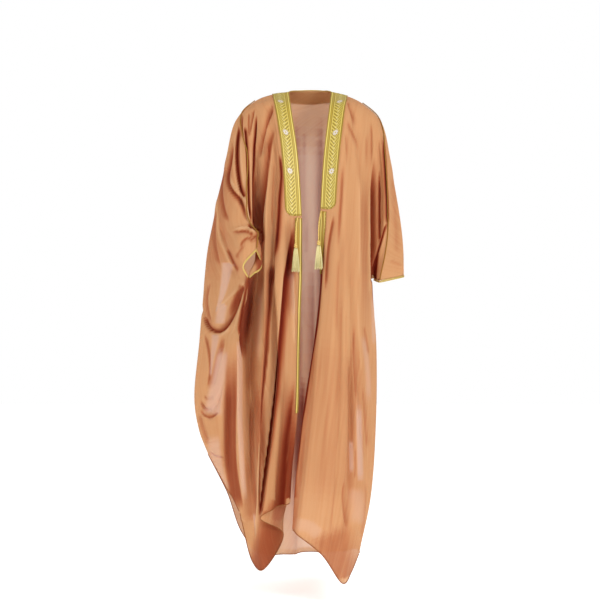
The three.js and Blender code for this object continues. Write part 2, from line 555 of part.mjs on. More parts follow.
// Rolled hems.
function hem(piece, from, to, row) {
  const places = numbers(from, to).map((c) => [piece, [row, c], row - 1]);
  return edging(places, HEM.radius, HEM.radius, HEM.inset, HEM.gap);
}
add("hem_front_right", hem(right, 0, RIGHT_SIDE, LAST_ROW), thread);
add("hem_front_left", hem(left, 0, LEFT_SIDE, LAST_ROW), thread);
add("hem_back", hem(back, BACK_RIGHT_SIDE, BACK_LEFT_SIDE, LAST_ROW + SLOPE), thread);

// Tassels: a cord from the lower end of each band, a bound head and a skirt of threads.
const TASSEL_ROUTES = {
  right: [[-37, -152, -367], [-40, -158, -378], [-42, -163, -392], [-43, -166, -410],
    [-44, -168, -428], [-44, -169, -446]],
  left: [[33, -149.3, -349], [31, -153, -360], [28, -158, -374], [26, -163, -391],
    [25, -168, -414], [25, -170, -438]],
};
const TASSEL_HEAD = [[0, 0], [0.6, 0], [1, 0.3], [1, 0.7], [0.6, 1], [0, 1]]
  .map(([r, down]) => [r * TASSEL.headRadius, -down * TASSEL.headLength]);
const TASSEL_SKIRT = [[0, 0], [TASSEL.skirtTop, 0], [TASSEL.skirtBottom * 0.8, -TASSEL.skirtLength / 2],
  [TASSEL.skirtBottom, -TASSEL.skirtLength], [0, -TASSEL.skirtLength]];

// A profile of [radius, height], listed downwards, turned round a vertical axis under a point.
function turned(profile, x, y, top) {
  const upwards = profile.toReversed().map(([r, z]) => new THREE.Vector2(r, z));
  return new THREE.LatheGeometry(upwards, TASSEL.sides).rotateX(Math.PI / 2).translate(x, y, top);
}
for (const [side, route] of Object.entries(TASSEL_ROUTES)) {
  const line = route.map(vec);
  const facing = line.map(() => new THREE.Vector3(0, -1, 0));
  const [x, y, bottom] = route.at(-1);
  const headTop = bottom - SEAM_GAP;
  const skirtTop = headTop - TASSEL.headLength - SEAM_GAP;
  add(`tassel_cord_${side}`, cord(line, facing, TASSEL.cordRadius, TASSEL.cordRadius, 8), tassel);
  add(`tassel_head_${side}`, turned(TASSEL_HEAD, x, y, headTop), tassel);
  add(`tassel_skirt_${side}`, turned(TASSEL_SKIRT, x, y, skirtTop), tassel);
}

export default cloak;
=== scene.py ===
"""A bisht: a long, open-fronted cloak of sheer honey-coloured cloth, trimmed with gold.

It keeps the hollow form in which it is worn: the right forearm raised forward, the left arm down.
Tables are in millimetres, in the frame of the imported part: +Z up, the open front towards -Y, the
wearer's right at -X, and the origin at the base of the neck. Meshes are in metres.
"""
import math

import bpy
import numpy as np
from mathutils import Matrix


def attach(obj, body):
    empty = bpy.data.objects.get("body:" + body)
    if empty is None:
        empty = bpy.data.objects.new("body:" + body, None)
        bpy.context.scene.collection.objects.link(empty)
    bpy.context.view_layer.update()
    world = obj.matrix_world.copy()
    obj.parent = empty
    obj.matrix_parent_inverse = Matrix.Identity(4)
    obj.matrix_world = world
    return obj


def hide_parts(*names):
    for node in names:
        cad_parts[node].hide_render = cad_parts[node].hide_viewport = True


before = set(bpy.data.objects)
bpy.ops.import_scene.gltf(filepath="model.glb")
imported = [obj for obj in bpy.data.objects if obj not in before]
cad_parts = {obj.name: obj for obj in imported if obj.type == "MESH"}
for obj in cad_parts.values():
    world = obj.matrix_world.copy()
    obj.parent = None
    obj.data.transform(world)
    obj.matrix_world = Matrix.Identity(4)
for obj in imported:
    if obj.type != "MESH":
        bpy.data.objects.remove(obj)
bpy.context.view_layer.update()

# ---- Camera ----------------------------------------------------------------------------------
# A portrait lens in front of the open fronts, level, at the height of the waist. The cloak hangs a
# little to the right of the middle of the view and fills its height.
CAMERA_DISTANCE = 5.0
CAMERA_SIDEWAYS = -0.0312
CAMERA_HEIGHT = -0.468
VIEW_WIDTH = 1.872  # what the view takes in, at the distance of the neck
VIEW_SHIFT = -0.0833  # in widths of the view
camera_data = bpy.data.cameras.new("camera")
camera_data.sensor_width = 36
camera_data.lens = CAMERA_DISTANCE / VIEW_WIDTH * camera_data.sensor_width
camera_data.shift_y = VIEW_SHIFT
camera = bpy.data.objects.new("camera", camera_data)
camera.location = (CAMERA_SIDEWAYS, -CAMERA_DISTANCE, CAMERA_HEIGHT)
camera.rotation_euler = (math.radians(90), 0, 0)
bpy.context.collection.objects.link(camera)
bpy.context.scene.camera = camera

# ---- Tassels ---------------------------------------------------------------------------------
# One hangs from the lower end of each gold band: a knotted silk cord, a head bound with gold
# thread, and a skirt of loose silk threads over a narrow core. Each is limp and hangs straight.
# A knot's place is its share of the cord's length.
CORD_ROUTES = {
    "right": [[-37, -152, -367], [-40, -158, -378], [-42, -163, -392], [-43, -166, -410],
              [-44, -168, -428], [-44, -169, -446]],
    "left": [[33, -149.3, -349], [31, -153, -360], [28, -158, -374], [26, -163, -391],
             [25, -168, -414], [25, -170, -438]],
}
CORD_RADIUS = 2.0
CORD_KNOTS = {
    "right": [0.06, 0.15, 0.24, 0.33, 0.42, 0.51, 0.6],
    "left": [0.1, 0.2, 0.3, 0.4, 0.5, 0.6],
}
KNOT = {"reach": 2.6, "between": 0.8, "swell": 0.5}  # half its length; radii of cord and knot
SILK_STRANDS = {"count": 3, "ridge": 0.09, "twist": 1.1}
CORD_IN_SKIRT = 16
TASSEL_HEAD = {"radius": 6.4, "length": 16, "gap": 0.3}
BINDING = {"pitch": 1.7, "ridge": 0.045}
TASSEL_SKIRT = {"top": 4.6, "bottom": 12.4, "length": 73, "threads": 84}
SKIRT_THREAD = {"stations": 9, "sides": 4, "thick": 0.85, "thins": 0.35, "waver": 0.09}
INNERMOST = 0.62  # the least radius of a thread, in radii of the skirt
SHORTEST = 0.9  # the least length of a thread, in lengths of the skirt
SKIRT_SEEDS = {"right": 11, "left": 12}
GOLDEN_SHARE = 0.618034  # of a full turn, from one thread to the next
FULL_TURN = 2 * math.pi


def through(points, steps):
    """Points on a centripetal Catmull-Rom curve through the given ones, on the last axis but one.

    Each gap is a cubic whose end slopes come from the chords around it, timed by the square root
    of their lengths. The curve is reflected past its ends. steps gives the parts of each gap.
    """
    first = 2 * points[..., :1, :] - points[..., 1:2, :]
    last = 2 * points[..., -1:, :] - points[..., -2:-1, :]
    p = np.concatenate([first, points, last], axis=-2)
    time = np.sqrt(np.maximum(np.linalg.norm(np.diff(p, axis=-2), axis=-1, keepdims=True), 1e-6))
    x0, x1, x2, x3 = (p[..., k:k + points.shape[-2] - 1, :] for k in range(4))
    d0, d1, d2 = (time[..., k:k + points.shape[-2] - 1, :] for k in range(3))
    slope_in = ((x1 - x0) / d0 - (x2 - x0) / (d0 + d1) + (x2 - x1) / d1) * d1
    slope_out = ((x2 - x1) / d1 - (x3 - x1) / (d1 + d2) + (x3 - x2) / d2) * d1
    gap = np.append(np.repeat(np.arange(len(steps)), steps), len(steps) - 1)
    t = np.append(np.concatenate([np.arange(n) / n for n in steps]), 1.0)[:, None]
    x1, x2, slope_in, slope_out = (a[..., gap, :] for a in (x1, x2, slope_in, slope_out))
    return (x1 + slope_in * t + (3 * (x2 - x1) - 2 * slope_in - slope_out) * t ** 2
            + (2 * (x1 - x2) + slope_in + slope_out) * t ** 3)


def unit(vectors):
    """Vectors made one long, along the last axis."""
    return vectors / np.maximum(np.linalg.norm(vectors, axis=-1, keepdims=True), 1e-9)


def arc(path):
    """How far along a path each of its points lies: the sum of the steps before it."""
    return np.append(0, np.cumsum(np.linalg.norm(np.diff(path, axis=0), axis=-1)))


def mesh_piece(name, points, faces, material, corner_uv, marks=None):
    """A smooth-shaded object at the origin, from points in millimetres and lists of corners."""
    mesh = bpy.data.meshes.new(name)
    mesh.from_pydata((points / 1000).tolist(), [], faces)
    uv_layer = mesh.uv_layers.new(name="UVMap")
    uv_layer.data.foreach_set("uv", corner_uv.astype(np.float32).ravel())
    for mark, values in (marks or {}).items():
        attribute = mesh.attributes.new(mark, "FLOAT", "POINT")
        attribute.data.foreach_set("value", values.astype(np.float32))
    mesh.shade_smooth()
    mesh.materials.append(material)
    piece = bpy.data.objects.new(name, mesh)
    bpy.context.collection.objects.link(piece)
    return piece


def tube_piece(name, rings, path, material, downwards=False):
    """The object of a stack of rings along a path, closed by a fan of triangles at each end.

    UV is the share of the way round, and the centimetres along the path. Where the rings are
    stacked downwards, the corners of each face run the other way round.
    """
    stations, sides = rings.shape[:2]
    order = [0, 3, 2, 1] if downwards else [0, 1, 2, 3]
    along = arc(path)
    i, k = np.meshgrid(np.arange(stations - 1), np.arange(sides), indexing="ij")
    a, b = i * sides + k, i * sides + (k + 1) % sides
    quads = np.stack([a, b, b + sides, a + sides], -1)[..., order].reshape(-1, 4)
    u = np.stack([k, k + 1, k + 1, k], -1) / sides
    v = np.stack([along[i], along[i], along[i + 1], along[i + 1]], -1) / 10
    uv = np.stack([u, v], -1)[..., order, :].reshape(-1, 2)
    points = np.vstack([rings.reshape(-1, 3), path[:1], path[-1:]])
    low, high, end = len(points) - 2, len(points) - 1, (stations - 1) * sides
    ring, after = np.arange(sides), (np.arange(sides) + 1) % sides
    if downwards:
        ring, after = after, ring
    fans = np.vstack([np.stack([after, ring, 0 * ring + low], -1),
                      np.stack([end + ring, end + after, 0 * ring + high], -1)])
    return mesh_piece(name, points, quads.tolist() + fans.tolist(), material,
                      np.vstack([uv, np.zeros((6 * sides, 2))]))


def cord_piece(name, path, facing, sides, radius_at, material):
    """The object of a cord along a path. radius_at gives its radius by the way along and the turn.

    A point is path + across * radius * cos(turn) + out * radius * sin(turn), where out is square
    to the path and looks the way that facing does.
    """
    run = unit(np.gradient(path, axis=0))
    across = unit(np.cross(facing, run))
    out = np.cross(run, across)
    turn = FULL_TURN * np.arange(sides) / sides
    radius = radius_at(arc(path)[:, None], turn)
    rings = (path[:, None] + across[:, None] * (radius * np.cos(turn))[..., None]
             + out[:, None] * (radius * np.sin(turn))[..., None])
    return tube_piece(name, rings, path, material)


def node(tree, kind, inputs=None, **settings):
    """A shader node with its settings, and with its sockets set to values or linked."""
    made = tree.nodes.new(kind)
    for key, value in settings.items():
        setattr(made, key, value)
    for key, value in (inputs or {}).items():
        socket = made.inputs[key]
        if isinstance(value, bpy.types.NodeSocket):
            tree.links.new(value, socket)
        else:
            socket.default_value = value
    return made


def maths(tree, operation, *values):
    """The output of a Math node on numbers or sockets."""
    return node(tree, "ShaderNodeMath", dict(enumerate(values)), operation=operation).outputs[0]


def blend_colours(tree, share, first, second):
    """The output of a colour mix: first where share is 0, second where it is 1."""
    mix = node(tree, "ShaderNodeMix", {0: share, 6: first, 7: second}, data_type="RGBA")
    return mix.outputs[2]


def new_material(name):
    """An empty node material and its output node."""
    material = bpy.data.materials.new(name)
    material.use_nodes = True
    material.node_tree.nodes.clear()
    return material, material.node_tree, material.node_tree.nodes.new("ShaderNodeOutputMaterial")


FUZZ_SCALE = 900.0
FUZZ_SHARE = 0.5  # of the way from the dark colour to the light one
# of the painted highlight and painted shade that follow the strands
STRAND_PAINTED_SHADE_SHARE = 0.62
STRAND_RELIEF = 0.0006


def thread_material(name, light, dark, turns, pitch, metallic, roughness):
    """Twisted thread: bands that climb round the cord, with painted highlight on the crown of each
    strand and painted shade between the strands.

    The band is the sine of turns times the angle round plus the length over the pitch.
    """
    material, tree, output = new_material(name)
    uv = node(tree, "ShaderNodeUVMap", uv_map="UVMap")
    place = node(tree, "ShaderNodeSeparateXYZ", {0: uv.outputs[0]})
    climb = maths(tree, "ADD", maths(tree, "MULTIPLY", place.outputs[0], float(turns)),
                  maths(tree, "DIVIDE", place.outputs[1], pitch / 10))
    wave = maths(tree, "SINE", maths(tree, "MULTIPLY", climb, FULL_TURN))
    strand = maths(tree, "MULTIPLY_ADD", wave, 0.5, 0.5)
    coordinates = node(tree, "ShaderNodeTexCoord").outputs["Object"]
    fuzz = node(tree, "ShaderNodeTexNoise",
                {"Vector": coordinates, "Scale": FUZZ_SCALE, "Detail": 3.0})
    # Painted highlight on the crown of each strand and painted shade between them, over a fine
    # random fuzz.
    shade = maths(tree, "MULTIPLY_ADD", fuzz.outputs[0], FUZZ_SHARE,
                  maths(tree, "MULTIPLY", strand, STRAND_PAINTED_SHADE_SHARE))
    colour = blend_colours(tree, shade, (*dark, 1), (*light, 1))
    bump = node(tree, "ShaderNodeBump",
                {"Height": strand, "Strength": 0.7, "Distance": STRAND_RELIEF})
    shader = node(tree, "ShaderNodeBsdfPrincipled", {
        "Base Color": colour, "Metallic": metallic, "Roughness": roughness,
        "Normal": bump.outputs[0], "Sheen Weight": 0.2, "Sheen Tint": (*light, 1),
        "Specular IOR Level": 0.2})
    tree.links.new(shader.outputs[0], output.inputs[0])
    return material


silk = thread_material("tassel_silk", (0.86, 0.64, 0.20), (0.28, 0.13, 0.012), 2, 5.0, 0.12, 0.5)


def knotted(length, knots):
    """The radius of a knotted cord of three strands, which swells at each knot by a bell curve."""
    def radius_at(along, turn):
        swell = sum(np.exp(-((along - k * length) / KNOT["reach"]) ** 2) for k in knots)
        wave = np.cos(SILK_STRANDS["count"] * turn + along * SILK_STRANDS["twist"])
        return (CORD_RADIUS * (KNOT["between"] + KNOT["swell"] * swell)
                * (1 + SILK_STRANDS["ridge"] * wave))
    return radius_at


def turned(profile, steps, sides, centre):
    """A profile of [radius, height] rows turned round a vertical axis, closed at its two poles."""
    line = through(np.array([[r, 0, z] for r, z in profile], float), steps)
    turn = FULL_TURN * np.arange(sides) / sides
    radius = np.maximum(line[:, 0], 0)[:, None]
    points = np.stack([radius * np.cos(turn), radius * np.sin(turn),
                       np.tile(line[:, 2:], sides)], -1)
    return points + np.array(centre)


def turned_piece(name, rings, centre, material):
    """The object of a turned profile, from its rings."""
    path = rings.mean(1)
    path[:, :2] = centre[:2]
    return tube_piece(name, rings, path, material, downwards=True)


def head_piece(name, centre):
    """The head: a barrel with the ridges of its binding, r * (1 + ridge * wave down its height)."""
    r, length = TASSEL_HEAD["radius"], TASSEL_HEAD["length"]
    profile = [[0.5, 0], [r * 0.4, -0.4], [r * 0.66, -length * 0.3], [r * 0.8, -length * 0.62],
               [r * 0.62, -length * 0.93], [0.5, -length]]
    points = turned(profile, [3, 10, 12, 10, 3], 28, (0, 0, 0))
    ridges = 1 + BINDING["ridge"] * np.sin(points[..., 2:] * 2 * np.pi / BINDING["pitch"])
    swollen = np.concatenate([ridges, ridges, np.ones_like(ridges)], -1)
    return turned_piece(name, points * swollen + np.array(centre), centre, silk)


def skirt_piece(name, centre, seed):
    """The skirt: threads side by side on a widening cone, and a core inside them.

    A thread starts on the head's rim, leaves outwards by the power 0.8 of its length, wavers as a
    sine of it and ends at its own length. Each is a thin square tube that thins downwards.
    """
    random = np.random.default_rng(seed)
    top, bottom, length = (TASSEL_SKIRT[size] for size in ("top", "bottom", "length"))
    count, stations, sides = (TASSEL_SKIRT["threads"], SKIRT_THREAD["stations"],
                              SKIRT_THREAD["sides"])
    around = FULL_TURN * (np.arange(count) * GOLDEN_SHARE % 1)
    depth = INNERMOST + (1 - INNERMOST) * np.sqrt(random.random(count))
    own = length * (SHORTEST + (1 - SHORTEST) * random.random(count))
    s = np.linspace(0, 1, stations)
    radius = (top + (bottom - top) * s[None] ** 0.8) * depth[:, None]
    phase = random.random((count, 1)) * 6.3
    waver = SKIRT_THREAD["waver"] * np.sin(6 * s[None] + phase) * s[None]
    angle = around[:, None] + waver
    line = np.stack([radius * np.cos(angle), radius * np.sin(angle), -own[:, None] * s[None]], -1)
    thick = SKIRT_THREAD["thick"] - SKIRT_THREAD["thins"] * s
    corner = FULL_TURN * (np.arange(sides) + 0.5) / sides
    ring = np.stack([np.cos(corner), np.sin(corner), 0 * corner], -1)
    points = line[:, :, None] + ring * thick[:, None, None] + np.array(centre)
    t, i, k = np.meshgrid(np.arange(count), np.arange(stations - 1), np.arange(sides),
                          indexing="ij")
    start = (t * stations + i) * sides
    a, b = start + k, start + (k + 1) % sides
    walls = np.stack([a, a + sides, b + sides, b], -1).reshape(-1, 4)
    first = np.arange(count) * stations * sides
    final = first + (stations - 1) * sides
    ends = np.vstack([first[:, None] + [0, 1, 2, 3], final[:, None] + [3, 2, 1, 0]])
    share = (t[..., None] + 0 * np.arange(4)) / count
    run = np.stack([i, i + 1, i + 1, i], -1) / stations
    wall_uv = np.stack([share, run], -1).reshape(-1, 2)
    threads = mesh_piece(name, points.reshape(-1, 3), np.vstack([walls, ends]).tolist(),
                         silk_threads, np.vstack([wall_uv, np.zeros((8 * count, 2))]))
    profile = [[0.3, 0], [top * 0.8, -0.5], [bottom * 0.5, -length * 0.5],
               [bottom * 0.56, -length * 0.9], [0.3, -length * 0.91]]
    rings = turned(profile, [2, 8, 8, 3], 16, centre)
    return threads, turned_piece(name + "_core", rings, centre, silk_threads)


def loose_thread_material(name, cream, gold_colour):
    """Straight silk threads: each thread has its own cream or gold, by its number."""
    material, tree, output = new_material(name)
    uv = node(tree, "ShaderNodeUVMap", uv_map="UVMap")
    place = node(tree, "ShaderNodeSeparateXYZ", {0: uv.outputs[0]})
    number = maths(tree, "MULTIPLY", place.outputs[0], 571.3)
    pick = node(tree, "ShaderNodeTexWhiteNoise", {"W": number}, noise_dimensions="1D")
    colour = blend_colours(tree, pick.outputs["Value"], (*cream, 1), (*gold_colour, 1))
    shader = node(tree, "ShaderNodeBsdfPrincipled", {
        "Base Color": colour, "Roughness": 0.42, "Metallic": 0.1, "Sheen Weight": 0.3})
    tree.links.new(shader.outputs[0], output.inputs[0])
    return material


silk_threads = loose_thread_material("tassel_threads", (0.84, 0.77, 0.42), (0.50, 0.39, 0.11))
for side, route in CORD_ROUTES.items():
    end = np.array(route[-1], float)
    # The cord goes on through the head and holds the skirt from within.
    inside = end - [0, 0, TASSEL_HEAD["length"] + CORD_IN_SKIRT]
    path = through(np.vstack([route, inside]), [6] * (len(route) - 1) + [10])
    length = float(arc(path)[-1])
    facing = np.tile([0.0, -1.0, 0.0], (len(path), 1))
    cord = cord_piece(f"silk_cord_{side}", path, facing, 12, knotted(length, CORD_KNOTS[side]),
                      silk)
    head_top = end - [0, 0, TASSEL_HEAD["gap"]]
    head = head_piece(f"bound_head_{side}", head_top)
    skirt_top = head_top - [0, 0, TASSEL_HEAD["length"] + TASSEL_HEAD["gap"]]
    skirt, core = skirt_piece(f"thread_skirt_{side}", skirt_top, SKIRT_SEEDS[side])
    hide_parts(f"tassel_cord_{side}")
    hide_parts(f"tassel_head_{side}")
    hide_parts(f"tassel_skirt_{side}")
    for piece in (cord, head, skirt, core):
        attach(piece, "root")

# ---- Back panel ------------------------------------------------------------------------------
# One wide piece of sheer cloth that makes the back, the outer half of both sleeves and the cloth
# that hangs from the raised forearm. It is sewn to the fronts over the shoulders and at the sides.
# The rows of the tables are sections from neck to hem, and a column is a rib that crosses them.
BACK_RIGHT = [
    dict(at="neck", seam=(-65, 8, 24), lip=(-63, 17, 26), side=(-60, 26, 28), outer=(-50, 44, 31),
         rear=(-36, 59, 33), blade=(-18, 69, 35), centre=(0, 73, 36)),
    dict(at="yoke", seam=(-116.6, 8, 18), lip=(-117, 19, 17), side=(-117, 30, 15),
         outer=(-106, 60, 9), rear=(-80, 88, 2), blade=(-42, 106, -3), centre=(0, 112, -5)),
    dict(at="slope", seam=(-168, 6, -1), lip=(-172, 16, -4), side=(-174, 28, -8),
         outer=(-168, 54, -15), rear=(-138, 84, -20), blade=(-76, 108, -22), centre=(0, 119, -22)),
    dict(at="shoulder", seam=(-213, -18, -47), lip=(-220, -10, -51), side=(-226, -2, -56),
         outer=(-229, 24, -60), rear=(-192, 74, -50), blade=(-104, 110, -40), centre=(0, 124, -40)),
    dict(at="chest", seam=(-194, -117, -180), lip=(-217, -104, -182), side=(-238, -82, -182),
         outer=(-262, -12, -184), rear=(-226, 76, -182), blade=(-122, 126, -180),
         centre=(0, 138, -180)),
    dict(at="elbow", seam=(-187, -154, -376), lip=(-222, -152, -384), side=(-266, -114, -388),
         outer=(-302, -18, -372), rear=(-266, 88, -370), blade=(-134, 142, -368),
         centre=(0, 150, -366)),
    dict(at="forearm", seam=(-158, -198, -418), lip=(-214, -202, -444), side=(-252, -152, -470),
         outer=(-318, -32, -466), rear=(-280, 84, -464), blade=(-140, 147, -461),
         centre=(0, 155, -458)),
    dict(at="cuff", seam=(-161, -214, -464), lip=(-201, -234, -514), side=(-186, -226, -552),
         outer=(-326, -46, -560), rear=(-290, 78, -558), blade=(-146, 150, -554),
         centre=(0, 158, -550)),
    dict(at="hip", side=(-215, -206, -745), outer=(-340, -64, -745), rear=(-300, 68, -745),
         blade=(-152, 158, -742), centre=(0, 170, -740)),
    dict(at="thigh", side=(-220, -168, -960), outer=(-356, -62, -930), rear=(-304, 62, -945),
         blade=(-162, 168, -960), centre=(0, 186, -960)),
    dict(at="shin", side=(-218, -126, -1130), outer=(-342, -46, -1030), rear=(-284, 66, -1090),
         blade=(-172, 168, -1210), centre=(0, 202, -1200)),
    dict(at="hem", side=(-216, -92, -1270), outer=(-316, -34, -1100), rear=(-264, 62, -1225),
         blade=(-180, 140, -1430), centre=(0, 216, -1448)),
]
BACK_LEFT = [
    dict(at="neck", seam=(65, 8, 25), outer=(60, 26, 28), sleeve=(52, 42, 31), side=(42, 54, 32),
         rear=(30, 63, 34), blade=(16, 70, 35.5)),
    dict(at="yoke", seam=(115.5, 8, 13), outer=(116, 28, 11), sleeve=(108, 54, 7), side=(92, 76, 3),
         rear=(68, 94, 0), blade=(36, 107, -3)),
    dict(at="slope", seam=(160, 6, -8), outer=(165, 24, -15), sleeve=(160, 50, -18),
         side=(140, 74, -20), rear=(106, 96, -22), blade=(60, 110, -22)),
    dict(at="shoulder", seam=(213, -10, -58), outer=(222, 10, -68), sleeve=(214, 42, -70),
         side=(186, 74, -62), rear=(146, 98, -52), blade=(90, 112, -44)),
    dict(at="chest", seam=(231, -84, -184), outer=(250, -18, -186), sleeve=(238, 48, -186),
         side=(202, 92, -184), rear=(154, 118, -182), blade=(92, 132, -180)),
    dict(at="elbow", seam=(238, -90, -378), outer=(281, -20, -376), sleeve=(264, 46, -376),
         side=(206, 62, -374), rear=(166, 110, -372), blade=(104, 142, -370)),
    dict(at="forearm", seam=(231, -90, -468), outer=(290, -18, -462), sleeve=(264, 46, -464),
         side=(206, 30, -466), rear=(180, 100, -465), blade=(110, 147, -463)),
    dict(at="cuff", seam=(213, -82, -562), outer=(292, -14, -546), sleeve=(258, 44, -552),
         side=(191, -62, -556), rear=(190, 66, -556), blade=(116, 150, -554)),
    dict(at="hip", side=(204, -62, -755), rear=(196, 70, -750), blade=(124, 156, -745)),
    dict(at="thigh", side=(203, -70, -985), rear=(197, 76, -975), blade=(128, 170, -965)),
    dict(at="shin", side=(186, -82, -1225), rear=(182, 82, -1215), blade=(126, 186, -1205)),
    dict(at="hem", side=(150, -92, -1395), rear=(158, 74, -1412), blade=(118, 188, -1440)),
]
DOWN = [19, 24, 31, 14, 15, 34, 37, 33, 26]  # steps between the sections below the slope
DOWN_BACK = [8, 8, *DOWN]
ACROSS_BACK_RIGHT = [8, 14, 56, 14, 13, 13]
ACROSS_BACK_LEFT = [16, 10, 9, 9, 9, 13]
CUFF_ROW = sum(DOWN[:5])
CUFF_BLEND = 16  # rows above the cuff over which the cloth turns towards its shape below it
SLOPE_ROWS = sum(DOWN_BACK[:2])

# Folds that run down: heights of their two ends, their x at the top, middle and bottom, depth of
# the trough, half width, and how far the cloth leans over it sideways, where it does.
FOLD_RISE = 0.25  # the share of its length over which a fold starts, and that over which it ends
FOLD_FALL = 0.2
FOLD_OVERRUN = 1.15  # how far a fold goes on, in lengths
FOLDS_BACK = [
    dict(top=-70, bottom=-760, x=(-196, -220, -230), deep=16, wide=17),
    dict(top=-30, bottom=-1330, x=(-118, -158, -196), deep=24, wide=19, lean=6),
    dict(top=-120, bottom=-1450, x=(-74, -96, -128), deep=18, wide=15, lean=-5),
    dict(top=-20, bottom=-1460, x=(-40, -48, -60), deep=26, wide=18, lean=6),
    dict(top=-200, bottom=-1100, x=(-8, -4, 2), deep=14, wide=13),
    dict(top=-40, bottom=-1460, x=(34, 42, 46), deep=24, wide=17, lean=-6),
    dict(top=-150, bottom=-1300, x=(78, 92, 98), deep=17, wide=14, lean=5),
    dict(top=-50, bottom=-1420, x=(122, 142, 144), deep=20, wide=16, lean=-5),
    dict(top=-330, bottom=-1000, x=(160, 176, 178), deep=12, wide=12),
]
# Swags from the raised forearm: the lowest point of each U-shaped trough, how far it reaches and
# how high it climbs on the two sides.
SWAG_FADE = 0.4  # at both ends, in shares of its reach
SWAGS = [
    dict(x=-298, z=-716, out=44, out_rise=84, back=96, back_rise=118, deep=13, wide=13),
    dict(x=-306, z=-972, out=38, out_rise=56, back=44, back_rise=120, deep=11, wide=13),
]


def rise(t):
    """A smooth step from 0 at 0 to 1 at 1."""
    t = np.clip(t, 0, 1)
    return t * t * (3 - 2 * t)


def weave(sections, ribs, down, across):
    """The grid of a panel: a smooth curve down each rib, then one across the ribs on each row.

    Ribs that end at the cuff leave the rows below with fewer points, and the rest is nan. On the
    last rows above the cuff the row across all ribs turns smoothly into the row that goes on below.
    """
    lines = [through(np.array([s[rib] for s in sections if rib in s], float),
                     down[:sum(rib in s for s in sections) - 1]) for rib in ribs]
    rows, upper = sum(down) + 1, min(len(line) for line in lines)
    whole = [k for k, line in enumerate(lines) if len(line) == rows]
    row_below = through(np.stack([lines[k] for k in whole], 1), across[whole[0]:whole[-1]])
    left, right = sum(across[:whole[0]]), sum(across[:whole[-1]]) + 1
    grid = np.full((rows, sum(across) + 1, 3), np.nan)
    grid[:, left:right] = row_below
    if upper < rows:
        row_above = through(np.stack([line[:upper] for line in lines], 1), across)
        share = rise((upper - 1 - np.arange(upper)) / CUFF_BLEND)[:, None, None]
        row_above[:, left:right] += (1 - share) * (row_below[:upper] - row_above[:, left:right])
        grid[:upper] = row_above
    return grid


def normals_of(grid, facing):
    """Unit normals of a grid: the cross product of the differences along and down it."""
    def difference(axis):
        ahead = np.roll(grid, -1, axis)
        behind = np.roll(grid, 1, axis)
        edge = [slice(None)] * 3
        edge[axis] = -1
        ahead[tuple(edge)] = np.nan
        edge[axis] = 0
        behind[tuple(edge)] = np.nan
        return np.where(np.isnan(ahead), grid, ahead) - np.where(np.isnan(behind), grid, behind)
    return unit(np.cross(difference(1), difference(0))) * facing


def fold_depth(x, z, folds):
    """How far the folds press the cloth in at each place, and how far they lean it sideways.

    A fold's trough is a bell curve across its middle line, a parabola through its three x, times a
    smooth rise and fall along its length.
    """
    push, lean = np.zeros_like(x), np.zeros_like(x)
    for f in folds:
        t = (f["top"] - z) / (f["top"] - f["bottom"])
        a, b, c = f["x"]
        middle = a * (1 - t) * (1 - 2 * t) + 4 * b * t * (1 - t) + c * t * (2 * t - 1)
        length = rise(t / FOLD_RISE) * rise((FOLD_OVERRUN - t) / FOLD_FALL)
        bell = length * np.exp(-((x - middle) / f["wide"]) ** 2)
        push += f["deep"] * bell
        lean += f.get("lean", 0) * bell
    return push, lean


def swag_depth(x, y, z):
    """The same for troughs that hang in a U: a bell curve across a parabola that turns up."""
    push = np.zeros_like(x)
    for s in SWAGS:
        outward = x < s["x"]
        t = np.abs(x - s["x"]) / np.where(outward, s["out"], s["back"])
        low = s["z"] + t * t * np.where(outward, s["out_rise"], s["back_rise"])
        push += s["deep"] * rise((1 - t) / SWAG_FADE) * np.exp(-((z - low) / s["wide"]) ** 2)
    return np.where(y < 0, push, 0)


EDGE_PLANE = -165  # y of the two front edges at the waist
STEEP_POWERS = {-1: (4.0, 1.3), 0: (1.7, 1.7), 1: (1.3, 4.0)}  # by which side is the wider one
CREASE_STEPS = 8  # between two places of a crease
CREASE_REACH = 2.6  # in half widths
CREASE_FADE = (0.2, 0.2)  # at its two ends, in lengths of the crease
BROAD_SHARE = 0.8  # of a broad fold's depth
BROAD_PAINTED_SHADE = 0.005  # painted shade for each millimetre of a broad fold's depth
FRONT_FOLDS_UNTIL, FRONT_FOLDS_FADE = 10, 60  # the y where folds of the front end, and how far
FRONT_MARKS_UNTIL, FRONT_MARKS_FADE = 70, 40


